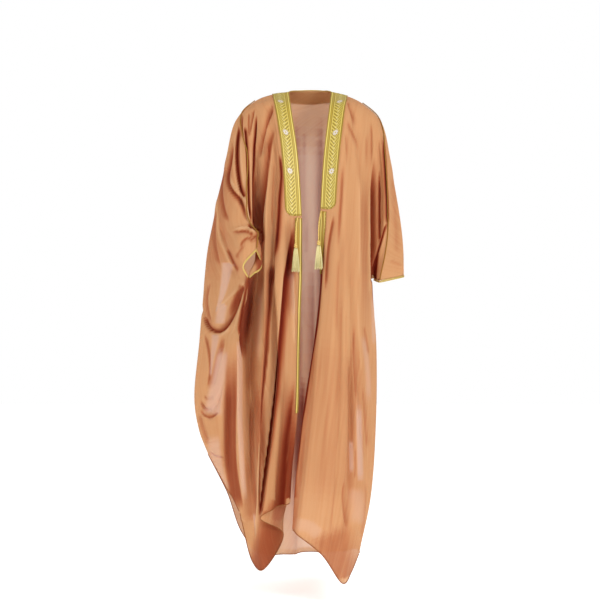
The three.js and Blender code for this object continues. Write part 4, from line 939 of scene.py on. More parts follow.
def sheer_cloth(name, light, ridge, dark, painted_pale, cover):
    """Sheer crepe: part of the light goes through, tinted, part is scattered on, little shines.

    Colour goes from ridge over light to dark with the mark of painted fold shade, by equal ratios:
    painted highlight on ridges and painted shade in troughs and recesses. Where the mark of the
    sheer places is, the colour is painted paler, painted light. Cover, the share that stops a ray
    at each face, is cover["plain"], more where dark and less at the sheer places. A noise drawn out
    down the cloth, a pebble and a grid of warp and weft vary both. UV is metres.
    """
    material, tree, output = new_material(name)
    uv = node(tree, "ShaderNodeUVMap", uv_map="UVMap")
    place = node(tree, "ShaderNodeSeparateXYZ", {0: uv.outputs[0]})
    painted_fold_shade = node(tree, "ShaderNodeAttribute", attribute_name="painted_fold_shade").outputs["Fac"]
    sheer = node(tree, "ShaderNodeAttribute", attribute_name="sheer").outputs["Fac"]
    drawn_out = node(tree, "ShaderNodeMapping", {"Vector": uv.outputs[0], "Scale": STREAK_SCALE})
    streaks = node(tree, "ShaderNodeTexNoise",
                   {"Vector": drawn_out.outputs[0], "Scale": 1.0, "Detail": 3.0})
    pebbles = node(tree, "ShaderNodeTexNoise",
                   {"Vector": uv.outputs[0], "Scale": PEBBLE_SCALE, "Detail": 2.0})
    threads = []
    for axis in (0, 1):
        angle = maths(tree, "MULTIPLY", place.outputs[axis], FULL_TURN / THREAD_PITCH)
        threads.append(maths(tree, "MULTIPLY_ADD", maths(tree, "SINE", angle), 0.5, 0.5))
    crossing = maths(tree, "MULTIPLY", *threads)
    streak = maths(tree, "MULTIPLY_ADD", streaks.outputs[0], STREAK_DEPTH, -STREAK_DEPTH / 2)
    pebble = maths(tree, "MULTIPLY_ADD", pebbles.outputs[0], PEBBLE_DEPTH, -PEBBLE_DEPTH / 2)
    shade = maths(tree, "ADD", painted_fold_shade, maths(tree, "ADD", streak, pebble))
    darker = node(tree, "ShaderNodeMapRange", {0: shade, 1: 0.0, 2: 1.0}).outputs[0]
    along_ramp = node(tree, "ShaderNodeMapRange", {0: shade, 1: RIDGE_MARK, 2: DEEPEST_MARK})
    ramp = node(tree, "ShaderNodeValToRGB", {0: along_ramp.outputs[0]})
    ramp.color_ramp.elements.remove(ramp.color_ramp.elements[0])
    first = ramp.color_ramp.elements[0]
    first.position, first.color = 0, (*ridge, 1)
    # Painted shade: by equal ratios from the light colour towards the dark one; the first stop,
    # below 0, is the painted highlight of ridges.
    for mark in np.linspace(0, DEEPEST_MARK, COLOUR_STOPS):
        stop_colour = np.array(light) * (np.array(dark) / np.array(light)) ** mark
        place_on_ramp = (mark - RIDGE_MARK) / (DEEPEST_MARK - RIDGE_MARK)
        ramp.color_ramp.elements.new(place_on_ramp).color = (*stop_colour, 1)
    # Painted light: the colour turns towards the pale one where the cloth is sheerest.
    colour = blend_colours(tree, maths(tree, "MULTIPLY", sheer, PAINTED_PALE_SHARE), ramp.outputs[0],
                           (*painted_pale, 1))
    dense = node(tree, "ShaderNodeMapRange", {0: darker, 3: cover["plain"], 4: cover["dark"]})
    thinner = maths(tree, "MULTIPLY", sheer, cover["plain"] - cover["sheer"])
    stops = maths(tree, "SUBTRACT", dense.outputs[0], thinner)
    stops = maths(tree, "MULTIPLY_ADD", crossing, WEAVE_COVER,
                  maths(tree, "SUBTRACT", stops, WEAVE_COVER / 4))
    height = maths(tree, "MULTIPLY_ADD", pebbles.outputs[0], 0.6,
                   maths(tree, "MULTIPLY", crossing, 0.5))
    bump = node(tree, "ShaderNodeBump",
                {"Height": height, "Strength": 0.3, "Distance": CREPE_RELIEF})
    face = node(tree, "ShaderNodeBsdfPrincipled", {
        "Base Color": colour, "Roughness": 0.7, "Sheen Weight": 0.04, "Sheen Roughness": 0.4,
        "Specular IOR Level": 0.1, "Normal": bump.outputs[0]})
    glow = node(tree, "ShaderNodeBsdfTranslucent", {"Color": colour, "Normal": bump.outputs[0]})
    cloth = node(tree, "ShaderNodeMixShader",
                 {0: GLOW_SHARE, 1: face.outputs[0], 2: glow.outputs[0]})
    clear = node(tree, "ShaderNodeBsdfTransparent", {"Color": CREPE_TINT})
    mixed = node(tree, "ShaderNodeMixShader", {0: stops, 1: clear.outputs[0], 2: cloth.outputs[0]})
    tree.links.new(mixed.outputs[0], output.inputs[0])
    return material


# ridge is the colour of the painted highlight on ridges, dark that of the painted shade in the
# deepest folds, and the pale colour that of the painted light at the sheerest places.
crepe = sheer_cloth(
    "honey_crepe", light=(0.745, 0.435, 0.21), ridge=(0.90, 0.61, 0.36), dark=(0.22, 0.024, 0.007),
    painted_pale=(0.94, 0.71, 0.58), cover=dict(plain=0.64, dark=0.92, sheer=0.42))


def grid_faces(grid, facing):
    """The quads of a grid of points, by the points' numbers. facing, 1 or -1, says which way up."""
    rows, columns = grid.shape[:2]
    index = np.arange(rows * columns).reshape(rows, columns)
    corners = [index[:-1, :-1], index[:-1, 1:], index[1:, 1:], index[1:, :-1]]
    return np.stack(corners[::facing], -1).reshape(-1, 4)


def give_wall(piece, name, thickness):
    """Gives a surface a wall inwards from it, thickness in millimetres."""
    wall = piece.modifiers.new(name, "SOLIDIFY")
    wall.thickness = thickness / 1000
    wall.offset = -1


def cloth_piece(name, grid, painted_fold_shade, sheer, facing):
    """The object of a creased grid, with a wall of cloth. Points that no quad uses are left out.

    The cloth's own measure is its UV: metres across from the first point of a row, and metres down.
    """
    points = grid.reshape(-1, 3)
    quads = grid_faces(grid, facing)
    quads = quads[~np.isnan(points[quads]).any((1, 2))]
    steps = np.linalg.norm(np.diff(grid, axis=1, prepend=grid[:, :1]), axis=-1)
    down = arc(np.nanmean(grid, axis=1))[:, None].repeat(grid.shape[1], 1)
    uv = np.stack([np.nancumsum(steps, axis=1), down], -1).reshape(-1, 2) / 1000
    used, renumbered = np.unique(quads, return_inverse=True)
    # The painted fold shade and the sheer, painted-pale places go on as marks of the points.
    marks = {"painted_fold_shade": np.clip(painted_fold_shade, RIDGE_MARK, DEEPEST_MARK).reshape(-1)[used],
             "sheer": np.clip(sheer, -1, 1).reshape(-1)[used]}
    piece = mesh_piece(name, points[used], renumbered.reshape(quads.shape).tolist(), crepe,
                       uv[quads].reshape(-1, 2), marks)
    give_wall(piece, "cloth", CLOTH_THICKNESS)
    return piece


# ---- Right front -----------------------------------------------------------------------------
# Cut in one with the front half of the right sleeve. A deep pleat hangs from the shoulder, and
# the cloth folds over the raised forearm, ending in the front lip of the hand opening.
FRONT_RIGHT = [
    dict(at="neck", edge=(-65, 8, 24), crest=(-124, 8, 15), turn=(-131, 8, 13), ridge=(-139, 7, 10),
         recess=(-148, 7, 6), side=(-155, 7, 4), lip=(-162, 6, 1), seam=(-168, 6, -1)),
    dict(at="shoulder", edge=(-58, -75, -35), crest=(-116, -79, -23), turn=(-124, -74, -23),
         ridge=(-142, -66, -25), recess=(-170, -50, -31), side=(-194, -34, -39),
         lip=(-204, -26, -43), seam=(-213, -18, -47)),
    dict(at="chest", edge=(-38, -130, -180), crest=(-93, -150, -178), turn=(-101, -128, -178),
         ridge=(-132, -145, -178), recess=(-164, -98, -180), side=(-177, -112, -180),
         lip=(-186, -117, -180), seam=(-194, -117, -180)),
    dict(at="elbow", edge=(-26, -145, -364), crest=(-100, -162, -366), turn=(-108, -136, -368),
         ridge=(-136, -160, -372), recess=(-164, -84, -378), side=(-172, -142, -382),
         lip=(-179, -149, -380), seam=(-187, -154, -376)),
    dict(at="forearm", edge=(-26, -147, -455), crest=(-105, -167, -458), turn=(-111, -138, -460),
         ridge=(-138, -164, -462), recess=(-163, -80, -472), side=(-164, -150, -484),
         lip=(-148, -168, -452), seam=(-158, -198, -418)),
    dict(at="cuff", edge=(-26, -150, -540), crest=(-108, -170, -545), turn=(-112, -138, -548),
         ridge=(-138, -166, -550), recess=(-163, -76, -558), side=(-186, -226, -552),
         lip=(-149, -172, -508), seam=(-161, -214, -464)),
    dict(at="hip", edge=(-33, -155, -740), crest=(-96, -182, -745), turn=(-94, -138, -750),
         ridge=(-140, -170, -752), recess=(-186, -72, -748), side=(-215, -206, -745)),
    dict(at="thigh", edge=(-38, -160, -960), crest=(-110, -190, -965), turn=(-92, -128, -975),
         ridge=(-152, -168, -985), recess=(-180, -106, -975), side=(-220, -168, -960)),
    dict(at="shin", edge=(-54, -162, -1130), crest=(-132, -192, -1160), turn=(-88, -112, -1200),
         ridge=(-158, -150, -1240), recess=(-174, -110, -1220), side=(-218, -126, -1130)),
    dict(at="hem", edge=(-60, -162, -1231), crest=(-150, -186, -1270), turn=(-82, -98, -1338),
         ridge=(-146, -128, -1440), recess=(-176, -86, -1424), side=(-216, -92, -1270)),
]
ACROSS_FRONT_RIGHT = [34, 13, 20, 30, 36, 12, 12]
SEAM_GAP = 0.3
SEAM_EASE = 8  # columns or rows over which a panel is eased to meet its neighbour

right_ribs = ["edge", "crest", "turn", "ridge", "recess", "side", "lip", "seam"]
right_grid, right_painted_shade, right_sheer = crease(
    weave(FRONT_RIGHT, right_ribs, DOWN, ACROSS_FRONT_RIGHT), 1)
RIGHT_SIDE = sum(ACROSS_FRONT_RIGHT[:5])


def ease(grid, rows, column, inward, shift):
    """Moves a column of a panel by shift, and the columns inside it ever less, by a smooth fall."""
    for k in range(SEAM_EASE):
        grid[rows, column + inward * k] += shift * float(rise(np.array(1 - k / SEAM_EASE)))


def sewn_together(front, front_column, front_inward, back, back_column, back_inward, rows):
    """Both panels meet half-way along a seam, each drawn back by half of the seam's gap."""
    back_rows = rows + SLOPE_ROWS
    meeting = (front[rows, front_column] + back[back_rows, back_column]) / 2
    for grid, own, column, inward in ((front, rows, front_column, front_inward),
                                      (back, back_rows, back_column, back_inward)):
        drawn = unit(grid[own, column + inward * 2] - grid[own, column]) * SEAM_GAP / 2
        ease(grid, own, column, inward, meeting + drawn - grid[own, column])


def shoulder_sewn(front, back, back_column):
    """The front's top row follows the back's shoulder line, by the share of its length."""
    line, own = back[:SLOPE_ROWS + 1, back_column], front[0]
    along_line, along_own = (arc(path) / arc(path)[-1] for path in (line, own))
    wanted = np.stack([np.interp(along_own, along_line, line[:, k]) for k in range(3)], -1)
    shift = wanted + [0, -SEAM_GAP / 2, 0] - own
    for k in range(SEAM_EASE):
        front[k] += shift * float(rise(np.array(1 - k / SEAM_EASE)))


ABOVE_CUFF = np.arange(0, CUFF_ROW + 1)
BELOW_CUFF = np.arange(CUFF_ROW + 1, sum(DOWN) + 1)
sewn_together(right_grid, -1, -1, back_grid, 0, 1, ABOVE_CUFF)
sewn_together(right_grid, RIGHT_SIDE, -1, back_grid, BACK_SIDE_RIGHT, 1, BELOW_CUFF)
shoulder_sewn(right_grid, back_grid, 0)

# ---- Left front ------------------------------------------------------------------------------
# Cut in one with the front half of the left sleeve, which hangs straight. Low down it lies over
# the right front, and its free edge rolls in, away from the braid.
FRONT_LEFT = [
    dict(at="neck", edge=(65, 8, 25), middle=(122, 8, 10), outer=(133, 7, 5), recess=(143, 7, 0),
         side=(152, 6, -4), seam=(160, 6, -8)),
    dict(at="shoulder", edge=(58, -75, -35), middle=(116, -78, -23), outer=(156, -60, -28),
         recess=(184, -40, -41), side=(203, -24, -52), seam=(213, -10, -58)),
    dict(at="chest", edge=(41, -130, -180), middle=(100, -152, -178), outer=(150, -128, -180),
         recess=(186, -92, -182), side=(219, -98, -184), seam=(231, -84, -184)),
    dict(at="elbow", edge=(31, -143, -342), middle=(93, -172, -350), outer=(150, -150, -362),
         recess=(188, -78, -375), side=(228, -102, -378), seam=(238, -90, -378)),
    dict(at="forearm", edge=(28, -150, -444), middle=(91, -180, -450), outer=(150, -160, -460),
         recess=(186, -80, -465), side=(212, -88, -467), seam=(231, -90, -468)),
    dict(at="cuff", edge=(26, -155, -540), middle=(90, -186, -548), outer=(150, -166, -552),
         recess=(182, -84, -556), side=(191, -62, -556), seam=(213, -82, -562)),
    dict(at="hip", edge=(6, -170, -740), middle=(80, -198, -748), outer=(148, -178, -752),
         recess=(188, -104, -755), side=(204, -62, -755)),
    dict(at="thigh", edge=(-24, -188, -960), middle=(62, -212, -968), outer=(142, -188, -980),
         recess=(184, -118, -985), side=(203, -70, -985)),
    dict(at="shin", edge=(-46, -198, -1160), middle=(45, -224, -1190), outer=(128, -198, -1220),
         recess=(168, -132, -1225), side=(186, -82, -1225)),
    dict(at="hem", edge=(-57, -200, -1307), middle=(33, -226, -1374), outer=(98, -204, -1465),
         recess=(126, -142, -1440), side=(150, -92, -1395)),
]
ACROSS_FRONT_LEFT = [44, 38, 30, 20, 12]
EDGE_ROLL = dict(top=-370, bottom=-1300, fade_in=120, fade_out=200, wide=24, deep=13)
ROLL_PAINTED_SHADE = 0.02  # painted shade for each millimetre of the roll's depth

left_ribs = ["edge", "middle", "outer", "recess", "side", "seam"]
left_grid, left_painted_shade, left_sheer = crease(
    weave(FRONT_LEFT, left_ribs, DOWN, ACROSS_FRONT_LEFT), -1)
LEFT_SIDE = sum(ACROSS_FRONT_LEFT[:4])
sewn_together(left_grid, -1, -1, back_grid, -1, -1, ABOVE_CUFF)
sewn_together(left_grid, LEFT_SIDE, -1, back_grid, BACK_SIDE_LEFT, -1, BELOW_CUFF)
shoulder_sewn(left_grid, back_grid, -1)


def from_edge(grid):
    """How far each point lies from the first one of its row, along the row."""
    return np.cumsum(np.linalg.norm(np.diff(grid, axis=1, prepend=grid[:, :1]), axis=-1), axis=1)


# The roll: the points near the edge go inwards by a square of how near they are.
near = np.clip(1 - from_edge(left_grid) / EDGE_ROLL["wide"], 0, 1) ** 2
height = left_grid[..., 2]
roll = (near * rise((EDGE_ROLL["top"] - height) / EDGE_ROLL["fade_in"])
        * rise((height - EDGE_ROLL["bottom"]) / EDGE_ROLL["fade_out"] + 1) * EDGE_ROLL["deep"])
left_grid[..., 1] += np.nan_to_num(roll)
# Painted shade along the roll, by its depth.
left_painted_shade = left_painted_shade + np.nan_to_num(roll) * ROLL_PAINTED_SHADE

panels = {
    "cloth_back": cloth_piece("cloth_back", back_grid, back_painted_shade, back_sheer, 1),
    "cloth_right": cloth_piece("cloth_right", right_grid, right_painted_shade, right_sheer, 1),
    "cloth_left": cloth_piece("cloth_left", left_grid, left_painted_shade, left_sheer, -1),
}
for piece, solid_name in zip(panels.values(), ("back_panel", "front_right", "front_left")):
    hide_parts(solid_name)
    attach(piece, "root")

# ---- Gold bands ------------------------------------------------------------------------------
# A band of zari, gold thread couched on a firm strip, is sewn round the neck and down both fronts
# to the elbow, where its outer corner is rounded. It is raised, and edged with gold cord.
BAND_WIDTH = 52
BAND_LIFT = 2.0
BAND_THICKNESS = 1.3
BAND_CORNER = 26
BAND_ROW = sum(DOWN[:3])
BAND_INSET = 0.4  # from the cut edge of the cloth
# The places and sizes of the embroidery are in band widths, across from the free edge and along.
FIELD_MIDDLE = 0.6
FIELD_HALF = 0.26
TICKS = 26.0  # waves in a band width along the couched thread
HERRINGBONE = dict(lean=1.1, waves=9.0, gap=0.42, crest=0.72, soft=0.14)
ZIGZAG = dict(waves=6.5, wide=0.16, half=0.026, soft=0.012)
FLOWER = dict(start=1.4, step=2.35, last=7.3, petals=8.0, notch=0.035, outline=0.21, rim=0.15,
              heart=0.05, soft=0.02)
GOLD_LINES = [  # rows of couched thread across the band: middle, half width, colour
    (0.03, 0.022, (0.16, 0.10, 0.01)), (0.09, 0.03, (0.76, 0.61, 0.15)),
    (0.145, 0.014, (0.20, 0.13, 0.02)), (0.27, 0.016, (0.22, 0.15, 0.02)),
    (0.305, 0.02, (0.74, 0.60, 0.16)), (0.875, 0.014, (0.24, 0.17, 0.02)),
    (0.925, 0.03, (0.72, 0.57, 0.13)), (0.985, 0.024, (0.18, 0.09, 0.01))]
FIELD_WORK = {  # how much of each stitch's colour shows, and the colour
    "gaps": (0.75, (0.20, 0.14, 0.012)), "crests": (0.7, (0.70, 0.565, 0.14)),
    "zigzag": (0.5, (0.74, 0.65, 0.30)), "outline": (0.7, (0.36, 0.25, 0.03)),
    "petals": (0.9, (0.60, 0.55, 0.52)), "heart": (1.0, (0.46, 0.33, 0.06))}
STITCH_RELIEF = 0.0008


def zari_material(name, deep, bright):
    """Gold embroidery in rows along the band: a satin strip, a cord, and a field of fine work.

    UV is in band widths: across from the free edge, and along. The field is a herringbone, two
    triangle waves that lean opposite ways, with a zigzag along its middle and a small silver
    flower of eight petals at equal steps: its rim's radius follows the cosine of eight turns.
    """
    material, tree, output = new_material(name)
    uv = node(tree, "ShaderNodeUVMap", uv_map="UVMap")
    place = node(tree, "ShaderNodeSeparateXYZ", {0: uv.outputs[0]})
    u, v = place.outputs[0], place.outputs[1]

    def below(value, limit, soft):
        """1 where the value is below the limit, 0 above it."""
        sockets = {0: value, 1: limit - soft, 2: limit + soft, 3: 1.0, 4: 0.0}
        return node(tree, "ShaderNodeMapRange", sockets).outputs[0]

    def stripe(centre, half, soft=0.012):
        """1 within half of the centre line across the band, 0 beyond it."""
        return below(maths(tree, "ABSOLUTE", maths(tree, "SUBTRACT", u, centre)), half, soft)

    def wave(across, slope, repeats):
        """A triangle wave from 0 to 1 along v + slope * across, so many times in a band width."""
        leaning = maths(tree, "MULTIPLY_ADD", across, slope, v)
        return maths(tree, "PINGPONG", maths(tree, "MULTIPLY", leaning, repeats), 1.0)

    from_middle = maths(tree, "ABSOLUTE", maths(tree, "SUBTRACT", u, FIELD_MIDDLE))
    tick = wave(u, 0.0, TICKS)
    bone = wave(from_middle, HERRINGBONE["lean"], HERRINGBONE["waves"])
    swing = maths(tree, "MULTIPLY_ADD", wave(u, 0.0, ZIGZAG["waves"]), ZIGZAG["wide"],
                  FIELD_MIDDLE - ZIGZAG["wide"] / 2)
    to_flower = maths(tree, "PINGPONG", maths(tree, "SUBTRACT", v, FLOWER["start"]),
                      FLOWER["step"] / 2)
    radius = maths(tree, "SQRT", maths(
        tree, "ADD", maths(tree, "MULTIPLY", from_middle, from_middle),
        maths(tree, "MULTIPLY", to_flower, to_flower)))
    turn = maths(tree, "ARCTAN2", from_middle, to_flower)
    petal_wave = maths(tree, "COSINE", maths(tree, "MULTIPLY", turn, FLOWER["petals"]))
    rim = maths(tree, "MULTIPLY_ADD", petal_wave, -FLOWER["notch"], radius)
    grain = node(tree, "ShaderNodeTexNoise",
                 {"Vector": uv.outputs[0], "Scale": 42.0, "Detail": 4.0}).outputs[0]

    field = stripe(FIELD_MIDDLE, FIELD_HALF)
    on_field = below(v, FLOWER["last"], 0.1)
    off_swing = maths(tree, "ABSOLUTE", maths(tree, "SUBTRACT", u, swing))
    gaps = below(bone, HERRINGBONE["gap"], HERRINGBONE["soft"])
    crests = maths(tree, "SUBTRACT", 1.0, below(bone, HERRINGBONE["crest"], HERRINGBONE["soft"]))
    outline, petals = (below(rim, FLOWER[size], FLOWER["soft"]) for size in ("outline", "rim"))
    heart = below(radius, FLOWER["heart"], 0.015)
    shares = {"gaps": maths(tree, "MULTIPLY", gaps, field),
              "crests": maths(tree, "MULTIPLY", crests, field),
              "zigzag": below(off_swing, ZIGZAG["half"], ZIGZAG["soft"]),
              "outline": maths(tree, "MULTIPLY", outline, on_field),
              "petals": maths(tree, "MULTIPLY", petals, on_field),
              "heart": maths(tree, "MULTIPLY", heart, on_field)}
    base = blend_colours(tree, grain, (*deep, 1), (*bright, 1))
    for stitch, (strength, colour) in FIELD_WORK.items():
        shown = maths(tree, "MULTIPLY", shares[stitch], strength)
        base = blend_colours(tree, shown, base, (*colour, 1))
    for centre, half, colour in GOLD_LINES:
        line = maths(tree, "MULTIPLY", stripe(centre, half, 0.008),
                     maths(tree, "MULTIPLY_ADD", tick, 0.35, 0.55))
        base = blend_colours(tree, line, base, (*colour, 1))
    height = maths(tree, "MULTIPLY_ADD", bone, 0.5, maths(tree, "MULTIPLY", grain, 0.6))
    bump = node(tree, "ShaderNodeBump",
                {"Height": height, "Strength": 0.6, "Distance": STITCH_RELIEF})
    shader = node(tree, "ShaderNodeBsdfPrincipled", {
        "Base Color": base, "Metallic": 0.0, "Roughness": 0.48, "Normal": bump.outputs[0]})
    tree.links.new(shader.outputs[0], output.inputs[0])
    return material


zari = zari_material("zari_work", (0.29, 0.195, 0.010), (0.52, 0.375, 0.035))
gold = thread_material("gold_cord", (0.80, 0.62, 0.20), (0.30, 0.16, 0.02), 3, 3.4, 0.4, 0.36)
braid_gold = thread_material("braid_cord", (0.52, 0.34, 0.05), (0.09, 0.045, 0.006), 3, 3.4, 0.1,
                             0.45)


def at_distance(grid, distance):
    """Points of each row at the given distances along it: one row of distances, or a grid."""
    arcs = np.nan_to_num(from_edge(grid), nan=1e9)
    distance = np.broadcast_to(distance, (len(grid), np.shape(distance)[-1]))
    before = (arcs[:, None, :] <= distance[..., None]).sum(-1) - 1
    before = np.clip(before, 0, grid.shape[1] - 2)
    low, high = (np.take_along_axis(arcs, before + k, 1) for k in (0, 1))
    part = np.clip((distance - low) / np.maximum(high - low, 1e-6), 0, 1)[..., None]
    first, second = (np.take_along_axis(grid, (before + k)[..., None].repeat(3, -1), 1)
                     for k in (0, 1))
    return first + (second - first) * part


def at_rows(grid, rows):
    """Points of a grid at the given fractional rows, which may differ from column to column."""
    low = np.clip(np.floor(rows).astype(int), 0, len(grid) - 2)
    part = (rows - low)[..., None]
    first, second = (np.take_along_axis(grid, (low + k)[..., None].repeat(3, -1), 0)
                     for k in (0, 1))
    return first + (second - first) * part


def laid_piece(name, grid, facing, lift, thickness, material):
    """A strip that lies on a panel: its points moved out by lift, with a wall inwards from there.

    Its UV is in band widths, across and down.
    """
    raised = grid + normals_of(grid, facing) * lift
    columns = grid.shape[1]
    quads = grid_faces(grid, facing)
    down = np.cumsum(np.linalg.norm(np.diff(grid, axis=0, prepend=grid[:1]), axis=-1), axis=0)
    down = down[:, columns // 2, None].repeat(columns, 1)
    uv = np.stack([from_edge(grid), down], -1).reshape(-1, 2) / BAND_WIDTH
    piece = mesh_piece(name, raised.reshape(-1, 3), quads.tolist(), material,
                       uv[quads].reshape(-1, 2))
    give_wall(piece, "firm strip", thickness)
    return piece


def band_grid(panel):
    """The band's part of a front: rows that end on a quarter circle at the outer lower corner."""
    distance = np.linspace(BAND_INSET, BAND_WIDTH, 34)
    strip = at_distance(panel[:BAND_ROW + 1], distance)
    into_corner = np.clip(distance - (BAND_WIDTH - BAND_CORNER), 0, BAND_CORNER)
    cut = BAND_CORNER - np.sqrt(BAND_CORNER ** 2 - into_corner ** 2)
    row_length = np.linalg.norm(strip[-1] - strip[-2], axis=-1)
    last = BAND_ROW - cut / row_length
    rows = np.linspace(0, 1, 110)[:, None] * last[None]
    return at_rows(strip, rows)


def respaced(path, gap):
    """The path with points an equal gap apart."""
    along = arc(path)
    even = np.linspace(0, along[-1], max(int(round(along[-1] / gap)), 2) + 1)
    return np.stack([np.interp(even, along, path[:, k]) for k in range(path.shape[1])], -1)


SEWN_STRANDS = {"count": 3, "core": 0.9, "ridge": 0.13, "twist": 2.2}  # core and ridge in radii


def sewn_cord(name, path, out, gap, radius, material, left_off=0):
    """A round twisted cord of three strands along a path on the cloth, as a winding ridge.

    out is the way that the cloth faces there, gap the distance between stations, and left_off the
    number of them that it stops short of each end of the path.
    """
    stations = respaced(np.hstack([path, out]), gap)
    stations = stations[left_off:len(stations) - left_off]

    def radius_at(along, turn):
        wave = np.cos(SEWN_STRANDS["count"] * turn + along * SEWN_STRANDS["twist"] / radius)
        return radius * (SEWN_STRANDS["core"] + SEWN_STRANDS["ridge"] * wave)
    piece = cord_piece(name, stations[:, :3], stations[:, 3:], 10, radius_at, material)
    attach(piece, "root")
    return piece


trims = {"cloth_right": [], "cloth_left": [], "cloth_back": []}
EDGE_CORD_RADIUS = 1.1
MIDDLE_CORD_RADIUS = 0.7
FRONT_CORD_LIFT = 0.4  # of a cord's middle line above the band
NECK_CORD_LIFT = 0.3
for side, grid, facing in (("right", right_grid, 1), ("left", left_grid, -1)):
    strip = band_grid(grid)
    out = normals_of(strip, facing)
    band = laid_piece(f"zari_work_{side}", strip, facing, BAND_LIFT, BAND_THICKNESS, zari)
    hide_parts(f"zari_band_{side}")
    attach(band, "root")
    trims[f"cloth_{side}"].append(band)
    lifted = strip + out * (BAND_LIFT + FRONT_CORD_LIFT)
    for line, column, radius in (("outer", -2, EDGE_CORD_RADIUS), ("inner", 1, EDGE_CORD_RADIUS),
                                 ("middle", 9, MIDDLE_CORD_RADIUS)):
        path, normal = lifted[1:-1, column], out[1:-1, column]
        if line == "outer":  # it goes on along the lower end
            path = np.vstack([path, lifted[-2, 1:-1][::-1]])
            normal = np.vstack([normal, out[-2, 1:-1][::-1]])
        cord = sewn_cord(f"band_cord_{line}_{side}", path, normal, 1.0, radius, braid_gold)
        trims[f"cloth_{side}"].append(cord)

neck_strip = np.swapaxes(back_grid[:DOWN_BACK[0] + 1], 0, 1)
neck_out = normals_of(neck_strip, -1)
neck = laid_piece("zari_work_neck", neck_strip, -1, BAND_LIFT, BAND_THICKNESS, zari)
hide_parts("zari_band_neck")
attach(neck, "root")
trims["cloth_back"].append(neck)
for line, column in (("outer", -1), ("inner", 0)):
    path = (neck_strip + neck_out * (BAND_LIFT + NECK_CORD_LIFT))[1:-1, column]
    cord = sewn_cord(f"band_cord_{line}_neck", path, neck_out[1:-1, column], 1.5,
                     EDGE_CORD_RADIUS, gold)
    trims["cloth_back"].append(cord)

# ---- Front braids ----------------------------------------------------------------------------
# Below the bands a flat gold braid runs on down each front edge. It is wide beside the tassel,
# then narrow: down to the thigh on the right, and only to the cuff's height on the left.
BRAIDS = {"right": dict(wide=20, narrow=7, end=sum(DOWN[:7])),
          "left": dict(wide=20, narrow=5, end=CUFF_ROW)}
BRAID_LIFT = 1.8
BRAID_THICKNESS = 1.1
BRAID_CORD_RADIUS = 0.9
NARROWS_OVER = 0.25  # of the way from the band to the height of the cuff
braid_work = zari_material("braid_work", (0.24, 0.13, 0.008), (0.48, 0.30, 0.03))
for side, grid, facing in (("right", right_grid, 1), ("left", left_grid, -1)):
    sizes = BRAIDS[side]
    rows = grid[BAND_ROW:sizes["end"] + 1]
    t = np.arange(len(rows)) / (CUFF_ROW - BAND_ROW)
    narrowed = rise((t - (1 - NARROWS_OVER)) / NARROWS_OVER)
    width = sizes["wide"] + (sizes["narrow"] - sizes["wide"]) * narrowed
    strip = at_distance(rows, BAND_INSET + np.linspace(0, 1, 10)[None] * width[:, None])[1:]
    braid = laid_piece(f"edge_braid_{side}", strip, facing, BRAID_LIFT, BRAID_THICKNESS, braid_work)
    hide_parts(f"front_braid_{side}")
    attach(braid, "root")
    trims[f"cloth_{side}"].append(braid)
    out = normals_of(strip, facing)
    for line, column in (("outer", -1), ("inner", 0)):
        path = (strip + out * (BRAID_LIFT + 0.2))[:, column]
        cord = sewn_cord(f"braid_cord_{line}_{side}", path, out[:, column], 1.5,
                         BRAID_CORD_RADIUS, braid_gold)
        trims[f"cloth_{side}"].append(cord)

# ---- Shoulder piping -------------------------------------------------------------------------
# A twisted gold cord covers each shoulder seam, from the band down the sleeve to the cuff.
PIPING_RADIUS = 1.8
# The piping's dark brownish gold is partly its own colour and partly painted shade: a middle
# between how it looks lit and how it looks in shade.
seam_gold = thread_material("seam_cord", (0.44, 0.22, 0.03), (0.10, 0.028, 0.004), 3, 3.4, 0.0, 0.6)
for side, grid, column, facing in (("right", right_grid, 0, 1), ("left", left_grid, -1, -1)):
    own, behind = slice(0, CUFF_ROW + 1), slice(SLOPE_ROWS, SLOPE_ROWS + CUFF_ROW + 1)
    out = unit(normals_of(grid, facing)[own, -1] + normals_of(back_grid, 1)[behind, column])
    path = (back_grid[behind, column] + grid[own, -1]) / 2 + out * (PIPING_RADIUS + 0.4)
    cord = sewn_cord(f"seam_cord_{side}", path, out, 1.3, PIPING_RADIUS, seam_gold, left_off=3)
    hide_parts(f"shoulder_piping_{side}")
    trims[f"cloth_{side}"].append(cord)

# ---- Cuff braids -----------------------------------------------------------------------------
# The mouth of each sleeve is bound with two gold cords side by side, along both lips.
CUFF_CORD_RADIUS = 1.7
CUFF_CLEARANCE = 0.3
back_cuff = SLOPE_ROWS + CUFF_ROW


def lip(grid, row, columns, facing):
    """The edge of a panel at a row, its normals, and the way down from it."""
    out = normals_of(grid, facing)[row, columns]
    down = unit(grid[row, columns] - grid[row - 1, columns])
    return np.hstack([grid[row, columns], out, down])


right_lips = np.vstack([
    lip(right_grid, CUFF_ROW, np.arange(RIGHT_SIDE, right_grid.shape[1]), 1),
    lip(back_grid, back_cuff, np.arange(1, BACK_SIDE_RIGHT + 1), 1)])
left_lips = np.vstack([
    lip(left_grid, CUFF_ROW, np.arange(LEFT_SIDE, left_grid.shape[1]), -1),
    lip(back_grid, back_cuff, np.arange(back_grid.shape[1] - 2, BACK_SIDE_LEFT - 1, -1), 1)])
for side, lips in (("right", right_lips), ("left", left_lips)):
    for line, radii in (("upper", 1), ("lower", 3)):
        path = lips[:, :3] + lips[:, 6:] * (radii * CUFF_CORD_RADIUS + CUFF_CLEARANCE)
        cord = sewn_cord(f"cuff_cord_{line}_{side}", path, lips[:, 3:6], 1.3, CUFF_CORD_RADIUS,
                         gold, left_off=8)
        if line == "upper":
            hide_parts(f"cuff_braid_{side}")
        trims[f"cloth_{side}"].append(cord)

